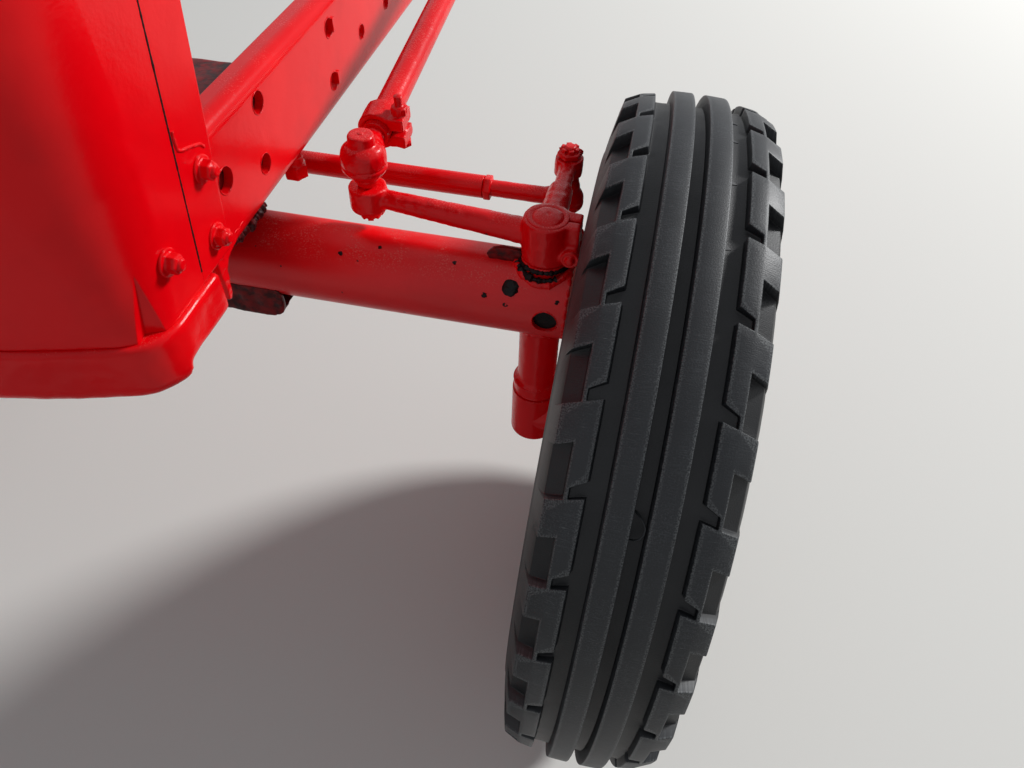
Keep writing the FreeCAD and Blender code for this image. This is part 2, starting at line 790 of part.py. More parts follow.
def tyre():
    """Hollow ring of flat facets: one pitch of both sides, turned about the axle and sewn."""
    turn = 2 * math.pi / lug_count
    faces = []
    for k in range(lug_count):
        for corners in tyre_side(1) + tyre_side(-1):
            points = []
            for step, out, radius in corners:
                angle = turn * (k + step)
                points.append(FreeCAD.Vector(out, radius * math.cos(angle), radius * math.sin(angle)))
            faces.append(Part.Face(Part.makePolygon(points + [points[0]])))
    shell = Part.makeCompound(faces)
    shell.sewShape()
    solid = Part.makeSolid(shell.Shells[0])
    if solid.Volume < 0:
        solid.reverse()
    solid.Placement = FreeCAD.Placement(wheel_centre(), FreeCAD.Rotation(X, spindle_way()))
    return solid


def nose_plan(grow, z, rear, sharpness=nose_corner):
    """Plan outline of the nose at a height, grown outwards, its sides, corners and front tangent."""
    half = nose_half + grow
    front = nose_front + grow
    bow = nose_bow_radius + grow
    corner = sharpness + grow
    bow_y = bow - front
    corner_y = bow_y - math.sqrt((bow - corner) ** 2 - (half - corner) ** 2)
    slope = math.atan2(half - corner, bow_y - corner_y)
    touch_x = bow * math.sin(slope)
    touch_y = bow_y - bow * math.cos(slope)
    bend = (math.pi / 2 - slope) / 2
    bend_x = half - corner + corner * math.cos(bend)
    bend_y = corner_y - corner * math.sin(bend)
    edges = [
        Part.LineSegment(at(half, -rear, z), at(half, corner_y, z)).toShape(),
        Part.Arc(at(half, corner_y, z), at(bend_x, bend_y, z), at(touch_x, touch_y, z)).toShape(),
        Part.Arc(at(touch_x, touch_y, z), at(0, -front, z), at(-touch_x, touch_y, z)).toShape(),
        Part.Arc(at(-touch_x, touch_y, z), at(-bend_x, bend_y, z), at(-half, corner_y, z)).toShape(),
        Part.LineSegment(at(-half, corner_y, z), at(-half, -rear, z)).toShape(),
        Part.LineSegment(at(-half, -rear, z), at(half, -rear, z)).toShape(),
    ]
    return Part.Wire(edges)


def nose_crease(grow):
    """Wedge that presses in the left lower corner, deepest at the cowl's lower edge."""
    low = nose_bottom - 2
    x = nose_half + grow + 1
    y = -crease_side - grow
    side = at(x, y, low)
    outer = at(x, y - crease_width, low)
    front = at(nose_half + grow - crease_width / 2, y - crease_width, low)
    inner = (side + front) * 0.5 + FreeCAD.Vector(-1, 1, 0).normalize() * (crease_depth - grow)
    foot = [side, outer, front, inner, side]
    tip = at(x, y, nose_bottom + crease_height - grow)
    faces = [Part.Face(Part.makePolygon(foot))]
    for a, b in zip(foot, foot[1:]):
        faces.append(Part.Face(Part.makePolygon([a, b, tip, a])))
    return Part.makeSolid(Part.makeShell(faces))


def nose_block(grow, low, rear):
    """Nose outline grown outwards: the plan, front and side outlines in common."""
    high = nose_bottom + nose_height + grow
    half = nose_half + grow
    front = nose_front + grow
    lean = math.tan(math.radians(nose_lean))
    rear_low = rear - (low - nose_bottom) * lean
    rear_high = rear - (high - nose_bottom) * lean
    waist = nose_bottom + crease_height
    waist_plan = nose_plan(grow, waist, rear_high, nose_corner_high)
    block = Part.makeLoft([nose_plan(grow, low, rear_high), waist_plan], True, True)
    block = block.fuse(Part.Face(waist_plan).extrude(Z * (high - waist)))
    across = prism([
        (-half, axle_y - front - 1, axle_z + low, 0),
        (half, axle_y - front - 1, axle_z + low, 0),
        (half, axle_y - front - 1, axle_z + high, nose_shoulder + grow),
        (-half, axle_y - front - 1, axle_z + high, nose_shoulder + grow),
    ], Y * front)
    beside = prism([
        (-half - 1, axle_y - front, axle_z + low, 0),
        (-half - 1, axle_y - rear_low, axle_z + low, 0),
        (-half - 1, axle_y - rear_high, axle_z + high, 0),
        (-half - 1, axle_y - front, axle_z + high, nose_brow + grow),
    ], X * (2 * half + 2))
    block = block.common(across).common(beside)
    crease = nose_crease(grow)
    return block.cut([crease, mirrored(crease)])


def nose_front_cutter(half, low, high, corner):
    """Rounded block through the nose's front, measured up from the cowl's lower edge."""
    y = axle_y - nose_front - 20
    z = axle_z + nose_bottom
    return prism([
        (-half, y, z + low, corner),
        (half, y, z + low, corner),
        (half, y, z + high, corner),
        (-half, y, z + high, corner),
    ], Y * grille_reach)


def nose_cowl():
    shell = nose_block(0, nose_bottom, nose_rear)
    core = nose_block(-cowl_wall, nose_bottom - 1, nose_rear - 1)
    shell = shell.cut(core)
    shell = shell.cut(nose_front_cutter(grille_half, grille_low, grille_high, grille_corner))
    for x in (-lamp_x, lamp_x):
        start = at(x, -nose_front - 20, nose_bottom + lamp_height)
        shell = shell.cut(rod(lamp_radius + seat_gap, start, start + Y * grille_reach))
    return shell


def grille():
    """Frame and upright bars that follow the inside of the nose's front."""
    outer = nose_block(-cowl_wall, nose_bottom, nose_rear)
    band = outer.cut(nose_block(-cowl_wall - bar_depth, nose_bottom - 1, nose_rear - 1))
    lap = grille_lap
    frame = nose_front_cutter(grille_half + lap, grille_low - lap, grille_high + lap, grille_corner + lap)
    frame = frame.cut(nose_front_cutter(grille_half - 2, grille_low + 2, grille_high - 2, grille_corner))
    low = nose_bottom + grille_low - lap / 2
    bars = []
    for k in range(grille_bars):
        x = -grille_half + 2 * grille_half * (k + 1) / (grille_bars + 1)
        bars.append(Part.makeBox(bar_width, grille_reach, grille_high - grille_low + lap,
                                 at(x - bar_width / 2, -nose_front - 20, low)))
    return band.common(fused(frame, *bars))


def headlamp():
    z = nose_bottom + lamp_height
    front = nose_front - lamp_inset
    profile = [(0, 0), (0, lamp_radius * 0.5), (12, lamp_radius * 0.9), (lamp_depth - 14, lamp_radius),
               (lamp_depth - 4, lamp_radius), (lamp_depth, lamp_radius * 0.7), (lamp_depth + 4, 0)]
    return ring(profile, at(lamp_x, -front + lamp_depth, z), Y * -1)


def bolster():
    low = nose_bottom - bolster_front
    shell = Part.Face(nose_plan(bolster_out, low, bolster_rear)).extrude(Z * bolster_front)
    core = Part.Face(nose_plan(bolster_out - bolster_wall, low - 1, bolster_rear - 1)).extrude(
        Z * (bolster_front + 2))
    for height, radius in ((axle_z + low, bolster_round), (axle_z + nose_bottom, bolster_roll)):
        rims = []
        for edge in shell.Edges:
            level = all(abs(vertex.Z - height) < 0.01 for vertex in edge.Vertexes)
            at_rear = all(abs(vertex.Y - (axle_y - bolster_rear)) < 0.01 for vertex in edge.Vertexes)
            if level and not at_rear:
                rims.append(edge)
        shell = shell.makeFillet(radius, rims)
    shell = shell.cut(core)
    reach = nose_half + bolster_out + 1
    step = Part.makeBox(2 * reach, bolster_step, bolster_front - bolster_side,
                        at(-reach, -bolster_step, low))
    return shell.cut(step)


def crossbar():
    top = radiator_low()
    x = rail_face - crossbar_inset
    front = bolster_rear
    upright = prism([
        (-x, axle_y - front, axle_z + top, 0),
        (-x, axle_y - front, axle_z + top - crossbar_drop, 8),
        (x, axle_y - front, axle_z + top - crossbar_drop, 8),
        (x, axle_y - front, axle_z + top, 0),
    ], Y * crossbar_wall)
    flat = rail_face - rail_round
    shelf = Part.makeBox(2 * flat, crossbar_shelf, crossbar_wall,
                         at(-flat, -front, top - crossbar_wall))
    return fused(upright, shelf)


def upright():
    """Strip on the rail's outer face, close behind the leaning edge of the cowl."""
    lean = math.tan(math.radians(nose_lean))
    foot = nose_bottom + 1
    high = foot + upright_height
    front_low = -nose_rear + (foot - nose_bottom) * lean
    front_high = front_low + upright_height * lean
    return prism([
        (rail_face, axle_y + front_low, axle_z + foot, 0),
        (rail_face, axle_y + front_low + upright_width, axle_z + foot, 4),
        (rail_face, axle_y + front_high + upright_width, axle_z + high, 4),
        (rail_face, axle_y + front_high, axle_z + high, 4),
    ], X * upright_wall)


def radiator_core():
    low = radiator_low() + tank_height
    return Part.makeBox(2 * radiator_half, radiator_depth - 8, core_height,
                        at(-radiator_half, -radiator_front + 4, low))


def radiator_low():
    return axle_below - rail_height / 2


def radiator_tank(low, spigot_x, spigot_z):
    y = -radiator_front
    box = prism([
        (-radiator_half, axle_y + y, axle_z + low, 0),
        (radiator_half, axle_y + y, axle_z + low, 0),
        (radiator_half, axle_y + y + radiator_depth, axle_z + low, 0),
        (-radiator_half, axle_y + y + radiator_depth, axle_z + low, 0),
    ], Z * tank_height)
    start = at(spigot_x, y + radiator_depth - 10, low + spigot_z)
    spigot = rod(spigot_radius, start, start + Y * (spigot_length + 10))
    hollow = rod(spigot_radius - 2.5, start, start + Y * (spigot_length + 10))
    return fused(box, spigot).cut(hollow)


def write_parts():
    os.makedirs("parts", exist_ok=True)
    paired = {
        "rail": rail(),
        "rail_lug": rail_lug(),
        "upright": upright(),
        "headlamp": headlamp(),
        "kingpin_housing": kingpin_housing(),
        "spindle": spindle(),
        "tie_rod_end": tie_rod_end(),
        "hub": hub(),
        "hub_cap": hub_cap(),
        "rim": rim(),
        "tyre": tyre(),
    }
    low = radiator_low()
    single = {
        "engine_plate": engine_plate(),
        "pivot_bracket": pivot_bracket(),
        "pivot_pin": pivot_pin(),
        "crossbar": crossbar(),
        "bolster": bolster(),
        "nose_cowl": nose_cowl(),
        "grille": grille(),
        "radiator_core": radiator_core(),
        "radiator_bottom_tank": radiator_tank(low, -hose_x, tank_height / 2),
        "radiator_top_tank": radiator_tank(low + tank_height + core_height, top_hose_x, tank_height / 2),
        "axle_tube": axle_tube(),
        "axle_saddle": axle_saddle(),
        "steering_arm_left": steering_arm(True),
        "steering_arm_right": mirrored(steering_arm(False)),
        "tie_rod_tube": tie_rod_tube(),
        "drag_link_tube": drag_link_tube(),
        "drag_link_clamp": drag_link_clamp(),
        "drag_link_end_front": drag_link_end_front(),
        "drag_link_end_rear": drag_link_end_rear(),
    }
    for name, shape in paired.items():
        single[name + "_left"] = shape
        single[name + "_right"] = mirrored(shape)
    for name, shape in single.items():
        box = shape.BoundBox
        print(name, len(shape.Solids), shape.isValid(), round(shape.Volume / 1000, 1),
              [round(v) for v in (box.XMin, box.YMin, box.ZMin, box.XMax, box.YMax, box.ZMax)])
        shape.exportStep("parts/" + name + ".step")


write_parts()
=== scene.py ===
import math

import bmesh
import bpy
from mathutils import Matrix, Vector, noise


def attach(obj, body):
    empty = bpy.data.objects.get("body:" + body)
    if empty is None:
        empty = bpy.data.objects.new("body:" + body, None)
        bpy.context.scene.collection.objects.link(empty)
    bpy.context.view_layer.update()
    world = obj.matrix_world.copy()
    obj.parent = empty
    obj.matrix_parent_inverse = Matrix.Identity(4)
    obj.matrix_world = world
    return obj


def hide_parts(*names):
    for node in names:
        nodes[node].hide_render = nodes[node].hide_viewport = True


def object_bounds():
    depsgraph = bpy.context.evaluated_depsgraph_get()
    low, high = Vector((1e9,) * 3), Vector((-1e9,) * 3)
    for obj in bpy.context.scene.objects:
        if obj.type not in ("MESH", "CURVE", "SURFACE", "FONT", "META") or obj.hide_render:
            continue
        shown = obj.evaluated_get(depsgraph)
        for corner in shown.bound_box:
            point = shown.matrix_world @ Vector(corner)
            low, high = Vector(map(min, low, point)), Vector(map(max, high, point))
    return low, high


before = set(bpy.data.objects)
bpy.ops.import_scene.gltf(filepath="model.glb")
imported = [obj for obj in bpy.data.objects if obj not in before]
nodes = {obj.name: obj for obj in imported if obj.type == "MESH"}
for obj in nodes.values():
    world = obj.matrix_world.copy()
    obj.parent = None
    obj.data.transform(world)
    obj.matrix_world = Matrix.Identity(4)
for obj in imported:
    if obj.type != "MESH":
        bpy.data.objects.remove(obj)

cadBox = [list(corner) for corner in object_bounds()]
scene = bpy.context.scene
mm = 0.001
print("frame loaded:", len(nodes), "nodes")

# Where the axle stands in the part's frame, in metres
axle = {
    "y": -0.640,
    "z": -0.1275,
    "kingpinX": 0.522,
    "spindleDrop": 0.172,
    "camber": math.radians(1.7),
    "trackHalf": 0.630,
}


def atAxle(x, y, z):  # a point in millimetres from the axle's centre
    return Vector((x * mm, axle["y"] + y * mm, axle["z"] + z * mm))


def wheelFrame(side):  # takes the wheel's own frame, X along its axle and Z up, to its place
    way = Vector((math.cos(axle["camber"]), 0, -side * math.sin(axle["camber"])))
    reach = (axle["trackHalf"] - axle["kingpinX"]) / math.cos(axle["camber"])
    root = Vector((side * axle["kingpinX"], axle["y"], axle["z"] - axle["spindleDrop"]))
    turn = Matrix.Rotation(math.atan2(-way.z, way.x), 4, "Y")
    return Matrix.Translation(root + side * reach * way) @ turn


# Materials: one small function adds a node, one makes colours linear

def linear(hexColour):
    values = []
    for k in (0, 2, 4):
        c = int(hexColour[k:k + 2], 16) / 255
        values.append(c / 12.92 if c <= 0.04045 else ((c + 0.055) / 1.055) ** 2.4)
    return (*values, 1.0)


def addNode(tree, kind, inputs=None, **settings):
    node = tree.nodes.new(kind)
    for name, value in settings.items():
        setattr(node, name, value)
    for name, value in (inputs or {}).items():
        socket = node.inputs[name]
        if isinstance(value, bpy.types.NodeSocket):
            tree.links.new(value, socket)
        else:
            socket.default_value = value
    return node


def newMaterial(name):
    material = bpy.data.materials.new(name)
    material.use_nodes = True
    material.node_tree.nodes.clear()
    return material, material.node_tree


def finishMaterial(tree, shader):
    addNode(tree, "ShaderNodeOutputMaterial", {"Surface": shader.outputs[0]})


def stretched(tree, source, scale):  # coordinates scaled apart along X, Y and Z
    return addNode(tree, "ShaderNodeMapping", {"Vector": source, "Scale": scale}).outputs[0]


def mixed(tree, factor, a, b):  # colours, the factor a socket or a number
    node = addNode(tree, "ShaderNodeMix", data_type="RGBA")
    for socket, value in ((node.inputs["Factor"], factor), (node.inputs[6], a), (node.inputs[7], b)):
        if isinstance(value, bpy.types.NodeSocket):
            tree.links.new(value, socket)
        else:
            socket.default_value = value
    return node.outputs[2]


def ramp(tree, source, low, high, flip=False):  # smooth step of a value between two levels
    ends = {"To Min": 1.0, "To Max": 0.0} if flip else {}
    inputs = {"Value": source, "From Min": low, "From Max": high, **ends}
    return addNode(tree, "ShaderNodeMapRange", inputs, interpolation_type="SMOOTHSTEP").outputs[0]


def times(tree, a, b, operation="MULTIPLY"):
    node = addNode(tree, "ShaderNodeMath", operation=operation)
    for socket, value in ((node.inputs[0], a), (node.inputs[1], b)):
        if isinstance(value, bpy.types.NodeSocket):
            tree.links.new(value, socket)
        else:
            socket.default_value = value
    return node.outputs[0]


def grainOf(tree, place, size, detail=2.0):  # noise whose lumps are so many millimetres apart
    return addNode(tree, "ShaderNodeTexNoise", {"Vector": place, "Scale": 1000 / size, "Detail": detail}).outputs[0]


# Synthetic enamel brushed over old steel: thick and glossy, with brush marks, slow waves, dust with a painted highlight
# on upward faces, and chips
enamel = {
    "colour": "E2000C",
    "thick": "DA000B",
    "thin": "EE0A12",
    # salmon tint of dust on upward faces, which also stands as a painted highlight where light falls on top
    "dust": "DE6A62",
    "primer": "140608",
    "brushMarks": 1.6,     # mm between the brush's marks
    "peel": 3.4,           # mm, orange peel
    "waves": 24.0,         # mm, slow waves of the thick coat
    "patches": 95.0,       # mm, thicker and thinner coats
    "specks": 1.5,         # mm, dust caught in the wet coat
}


def enamelMaterial(name, chipSize, chipShare, chipRadius, waves, speckle, roughness, gloss, edge):
    # Chips: spacing and radius in mm, share of cells. Waves: height in mm. Edge: mm over which light rolls at edges.
    # Speckle: amount of dust, with its painted top highlight, and of grit bumps
    material, tree = newMaterial(name)
    place = addNode(tree, "ShaderNodeTexCoord").outputs["Object"]
    patch = grainOf(tree, place, enamel["patches"], 4.0)
    colour = mixed(tree, ramp(tree, patch, 0.34, 0.50, True), linear(enamel["colour"]), linear(enamel["thick"]))
    colour = mixed(tree, times(tree, ramp(tree, patch, 0.52, 0.72), 0.7), colour, linear(enamel["thin"]))
    geometry = addNode(tree, "ShaderNodeNewGeometry").outputs["Normal"]
    up = addNode(tree, "ShaderNodeSeparateXYZ", {"Vector": geometry}).outputs["Z"]
    grit = grainOf(tree, place, enamel["specks"], 3.0)
    cloud = grainOf(tree, place, 30.0, 3.0)
    # Upward faces turn salmon through grit and cloud: dust, and a painted highlight of light falling on top
    dustAndTopHighlightMask = times(tree, ramp(tree, up, 0.5, 1.0), ramp(tree, grit, 0.50, 0.72))
    dustAndTopHighlightMask = times(tree, dustAndTopHighlightMask, ramp(tree, cloud, 0.35, 0.65))
    colour = mixed(tree, times(tree, dustAndTopHighlightMask, speckle), colour, linear(enamel["dust"]))
    cell = addNode(tree, "ShaderNodeTexVoronoi", {"Vector": place, "Scale": 1000 / chipSize, "Randomness": 1.0})
    size = chipRadius / chipSize
    ragged = times(tree, cell.outputs["Distance"], times(tree, grit, size), "ADD")
    pick = addNode(tree, "ShaderNodeSeparateColor", {"Color": cell.outputs["Color"]})
    chosen = ramp(tree, pick.outputs[0], 1 - chipShare, 1 - chipShare + 0.01)
    chip = times(tree, ramp(tree, ragged, 1.4 * size, 1.6 * size, True), chosen)
    colour = mixed(tree, chip, colour, linear(enamel["primer"]))
    marks = grainOf(tree, stretched(tree, place, (1.0, 0.16, 1.0)), enamel["brushMarks"])
    height = times(tree, times(tree, marks, 0.045), times(tree, grainOf(tree, place, enamel["peel"], 1.0), 0.09), "ADD")
    height = times(tree, height, times(tree, grainOf(tree, place, enamel["waves"]), waves), "ADD")
    height = times(tree, height, times(tree, grit, 0.10 * speckle), "ADD")
    height = times(tree, height, times(tree, chip, 0.35), "SUBTRACT")
    rolled = addNode(tree, "ShaderNodeBevel", {"Radius": edge * mm}, samples=4).outputs[0]
    bump = addNode(tree, "ShaderNodeBump", {"Height": height, "Strength": 1.0, "Distance": mm, "Normal": rolled})
    rough = addNode(tree, "ShaderNodeMapRange", {
        "Value": grit, "To Min": roughness * 0.8, "To Max": roughness * 1.25}).outputs[0]
    rough = times(tree, rough, times(tree, chip, 0.4), "ADD")
    rough = times(tree, rough, times(tree, dustAndTopHighlightMask, 0.2), "ADD")
    shader = addNode(tree, "ShaderNodeBsdfPrincipled", {
        "Base Color": colour, "Roughness": rough, "IOR": 1.5, "Specular IOR Level": gloss, "Normal": bump.outputs[0]})
    finishMaterial(tree, shader)
    return material


sheetEnamel = enamelMaterial("brushedEnamelOnSheet", 60, 0.08, 1.4, 0.30, 0.25, 0.20, 0.18, 1.6)
forgedEnamel = enamelMaterial("brushedEnamelOnForging", 26, 0.16, 1.5, 0.9, 0.6, 0.24, 0.25, 1.2)
axleEnamel = enamelMaterial("wornEnamelOnTube", 15, 0.20, 1.3, 0.30, 1.3, 0.36, 0.45, 1.2)


# Natural rubber tread, moulded: black, scuffed grey on what meets the road, with painted shade on the grooves' floors
# and a painted highlight along the treads' edges
rubber = {
    # colour of the grooves' floors, darkened as painted shade
    "deep": "08090C",
    "side": "15171A",
    "face": "1C1E21",
    "worn": "3F4245",
    # colour of real scratches, also used for the painted highlight along the treads' edges
    "scratch": "7D8081",
    "scratchWidth": 0.8,   # mm, drawn as coarse as it shows
    "scratchLength": 11.0,  # mm, across the ribs
    "pebble": 1.3,         # mm, grit pressed into the shoulders
}


def rubberMaterial():
    # UV holds millimetres around the tread and across it; the attribute is 1 on the treads' faces, where they wear, 2
    # on their edges, which carry a painted highlight, 0.35 on the side walls and 0 on the grooves' floors, which carry
    # painted shade
    material, tree = newMaterial("mouldedTyreRubber")
    place = addNode(tree, "ShaderNodeUVMap", uv_map="tread").outputs[0]
    wear = addNode(tree, "ShaderNodeAttribute", attribute_name="wear").outputs["Fac"]
    streak = addNode(tree, "ShaderNodeTexNoise", {
        "Vector": stretched(tree, place, (1 / rubber["scratchWidth"], 1 / rubber["scratchLength"], 1.0)),
        "Scale": 1.0, "Detail": 3.0, "Roughness": 0.6}).outputs[0]
    pebble = grainOf(tree, place, 1000 * rubber["pebble"], 3.0)
    cloud = grainOf(tree, place, 1000 * 38.0, 4.0)
    # Grooves' floors darker than the side walls: painted shade
    colour = mixed(tree, ramp(tree, wear, 0.05, 0.5), linear(rubber["deep"]), linear(rubber["side"]))
    onFace = ramp(tree, wear, 0.6, 0.95)
    colour = mixed(tree, onFace, colour, linear(rubber["face"]))
    scuff = times(tree, onFace, ramp(tree, cloud, 0.28, 0.72))
    grain = times(tree, ramp(tree, streak, 0.46, 0.74), ramp(tree, pebble, 0.46, 0.72), "MAXIMUM")
    colour = mixed(tree, times(tree, scuff, times(tree, grain, 0.85)), colour, linear(rubber["worn"]))
    bright = times(tree, ramp(tree, streak, 0.68, 0.75), onFace)
    colour = mixed(tree, times(tree, bright, 0.45), colour, linear(rubber["scratch"]))
    # Rounded edges of the treads lighter, broken by grit: a painted highlight
    edge = times(tree, ramp(tree, wear, 1.72, 1.98), ramp(tree, pebble, 0.40, 0.6))
    colour = mixed(tree, times(tree, edge, 0.32), colour, linear(rubber["scratch"]))
    height = times(tree, times(tree, streak, 0.20), times(tree, pebble, 0.22), "ADD")
    bump = addNode(tree, "ShaderNodeBump", {"Height": height, "Strength": 0.7, "Distance": mm})
    rough = addNode(tree, "ShaderNodeMapRange", {"Value": cloud, "To Min": 0.40, "To Max": 0.58})
    shader = addNode(tree, "ShaderNodeBsdfPrincipled", {
        "Base Color": colour, "Roughness": rough.outputs[0], "IOR": 1.52, "Specular IOR Level": 0.35,
        "Normal": bump.outputs[0]})
    finishMaterial(tree, shader)
    return material


tyreRubber = rubberMaterial()


def plainMaterial(name, colour, dark, metallic, roughness, grain, height):  # grain and its height in mm
    material, tree = newMaterial(name)
    place = addNode(tree, "ShaderNodeTexCoord").outputs["Object"]
    lumps = grainOf(tree, place, grain, 4.0)
    shade = mixed(tree, ramp(tree, lumps, 0.35, 0.65), linear(dark), linear(colour))
    rough = addNode(tree, "ShaderNodeMapRange", {
        "Value": lumps, "To Min": roughness * 0.8, "To Max": roughness * 1.25})
    bump = addNode(tree, "ShaderNodeBump", {"Height": lumps, "Strength": 1.0, "Distance": height * mm})
    shader = addNode(tree, "ShaderNodeBsdfPrincipled", {
        "Base Color": shade, "Metallic": metallic, "Roughness": rough.outputs[0], "Normal": bump.outputs[0],
        "Specular IOR Level": 0.5 if metallic else 0.2})
    finishMaterial(tree, shader)
    return material


radiatorBlack = plainMaterial("stoveBlackOnBrass", "17181A", "0A0A0B", 0.0, 0.5, 14, 0.15)
turnedSteel = plainMaterial("turnedSteel", "8E8A84", "5B5148", 1.0, 0.38, 6, 0.05)
rimEnamel = plainMaterial("satinEnamelOnRim", "B4B1A8", "9C988E", 0.0, 0.38, 30, 0.12)
# black for burnt welds and grease, and as painted shade in the seam, the tube's hole and the gap under the arm
blackWeldAndPaintedShade = plainMaterial("burntWeld", "120A0A", "030203", 0.0, 0.5, 2.5, 0.8)
# dull rusty enamel, also used on the pivot bracket as painted shade behind the rail's holes
rustyPaintAndInnerShade = plainMaterial("rustUnderDullEnamel", "7A0C10", "33070A", 0.0, 0.42, 9, 0.7)
mirrorBowl = plainMaterial("chromedReflector", "E6E6E6", "D8D8D8", 1.0, 0.06, 60, 0.0)


def glassMaterial():
    # Pressed lamp glass: clear, a little green at its thickest
    material, tree = newMaterial("pressedLampGlass")
    shader = addNode(tree, "ShaderNodeBsdfPrincipled", {
        "Base Color": linear("F2F7F4"), "Roughness": 0.04, "IOR": 1.5, "Transmission Weight": 1.0})
    finishMaterial(tree, shader)
    return material


lampGlass = glassMaterial()
print("materials made")


# CAD pieces that keep their shape take their finish here, the others take the forging's
finishes = {
    "rail_left": sheetEnamel, "rail_right": sheetEnamel, "engine_plate": sheetEnamel, "crossbar": sheetEnamel,
    "nose_cowl": sheetEnamel, "upright_left": sheetEnamel, "upright_right": sheetEnamel,
    "grille": sheetEnamel, "axle_tube": axleEnamel,
    "radiator_core": radiatorBlack, "radiator_bottom_tank": radiatorBlack, "radiator_top_tank": radiatorBlack,
    "pivot_pin": turnedSteel, "rim_left": rimEnamel, "rim_right": rimEnamel,
}
for name, node in nodes.items():
    node.data.materials.clear()
    node.data.materials.append(finishes.get(name, forgedEnamel))


def addPiece(name, mesh, material, body, replaces=()):  # a mesh that rides on its body
    piece = bpy.data.objects.new(name, mesh)
    scene.collection.objects.link(piece)
    mesh.materials.clear()
    mesh.materials.append(material)
    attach(piece, body)
    if replaces:
        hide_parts(*replaces)
    return piece


def smoothed(mesh, degrees=32):  # smooth shading, edges sharper than the angle kept
    mesh.polygons.foreach_set("use_smooth", [True] * len(mesh.polygons))
    mesh.set_sharp_from_angle(angle=math.radians(degrees))
    return mesh


# Shapes are drawn in millimetres from the axle's centre, on the left, and mirrored for the right

def turnedInto(shape, profile, foot, way, steps=40, turn=0.0):  # (along, radius) points about a line
    way = Vector(way).normalized()
    frameTurn = way.to_track_quat("Z", "Y").to_matrix()
    first = frameTurn @ Vector((1, 0, 0))
    second = frameTurn @ Vector((0, 1, 0))
    rings = []
    for along, radius in profile:
        middle = Vector(foot) + way * along
        if radius == 0:
            rings.append([shape.verts.new(middle)])
            continue
        ring = []
        for k in range(steps):
            angle = 2 * math.pi * k / steps + turn
            ring.append(shape.verts.new(middle + (first * math.cos(angle) + second * math.sin(angle)) * radius))
        rings.append(ring)
    for near, far in zip(rings, rings[1:]):
        for k in range(steps):
            corners = (near[k % len(near)], near[(k + 1) % len(near)], far[(k + 1) % len(far)], far[k % len(far)])
            unique = list(dict.fromkeys(corners))
            if len(unique) > 2:
                shape.faces.new(unique)


def tubeInto(shape, points, radii, steps=8, closed=False):  # round bar along points
    points = [Vector(p) for p in points]
    count = len(points)
    side = None
    rings = []
    for i, point in enumerate(points):
        after = points[(i + 1) % count] if closed else points[min(i + 1, count - 1)]
        before = points[i - 1] if closed else points[max(i - 1, 0)]
        way = (after - before).normalized()
        if side is None:
            side = way.orthogonal()
        side = (side - way * side.dot(way)).normalized()
        across = way.cross(side)
        radius = radii[i] if isinstance(radii, (list, tuple)) else radii
        rings.append([shape.verts.new(point + (side * math.cos(2 * math.pi * k / steps) +
                                               across * math.sin(2 * math.pi * k / steps)) * radius)
                      for k in range(steps)])
    pairs = list(zip(rings, rings[1:])) + ([(rings[-1], rings[0])] if closed else [])
    for near, far in pairs:
        for k in range(steps):
            shape.faces.new((near[k], near[(k + 1) % steps], far[(k + 1) % steps], far[k]))
    if not closed:
        shape.faces.new(rings[0])
        shape.faces.new(rings[-1])


def beadInto(shape, points, radius, closed=False, lumps=0.35):  # weld bead, lumpy every few millimetres
    points = [Vector(p) for p in points]
    if closed:
        points.append(points[0])
    path = []
    for a, b in zip(points, points[1:]):
        count = max(1, round((b - a).length / 1.6))
        path += [a.lerp(b, k / count) for k in range(count)]
    if not closed:
        path.append(points[-1])
    radii = [radius * (1 + lumps * noise.noise(p * 0.31) + 0.5 * lumps * noise.noise(p * 0.9)) for p in path]
    tubeInto(shape, path, radii, 10, closed)


def slabInto(shape, corners, push):  # flat outline pushed along a vector
    near = [shape.verts.new(Vector(c)) for c in corners]
    far = [shape.verts.new(Vector(c) + Vector(push)) for c in corners]
    shape.faces.new(near)
    shape.faces.new(far)
    for k in range(len(near)):
        shape.faces.new((near[k], near[(k + 1) % len(near)], far[(k + 1) % len(near)], far[k]))


def hexInto(shape, across, height, foot, way, turn=0.0):  # bolt head or nut, across its flats
    corner = across / math.sqrt(3)
    profile = [(0, 0), (0, corner * 0.93), (height * 0.1, corner), (height * 0.82, corner),
               (height * 0.96, corner * 0.9), (height, corner * 0.82), (height, 0)]
    turnedInto(shape, profile, foot, way, 6, turn)


def meshOf(shape, name, rounding=0.4, degrees=35, place=None):
    bmesh.ops.recalc_face_normals(shape, faces=shape.faces)
    if rounding:
        sharp = [e for e in shape.edges if len(e.link_faces) == 2 and e.calc_face_angle(0) > math.radians(28)]
        bmesh.ops.bevel(shape, geom=sharp, offset=rounding, segments=2, affect="EDGES", profile=0.5,
                        clamp_overlap=True)
    for vert in shape.verts:
        vert.co = place @ (vert.co * mm) if place else atAxle(*vert.co)
    result = bpy.data.meshes.new(name)
    shape.to_mesh(result)
    shape.free()
    return smoothed(result, degrees)


def mirroredMesh(mesh):
    other = mesh.copy()
    other.transform(Matrix.Scale(-1, 4, Vector((1, 0, 0))))
    other.flip_normals()
    return other


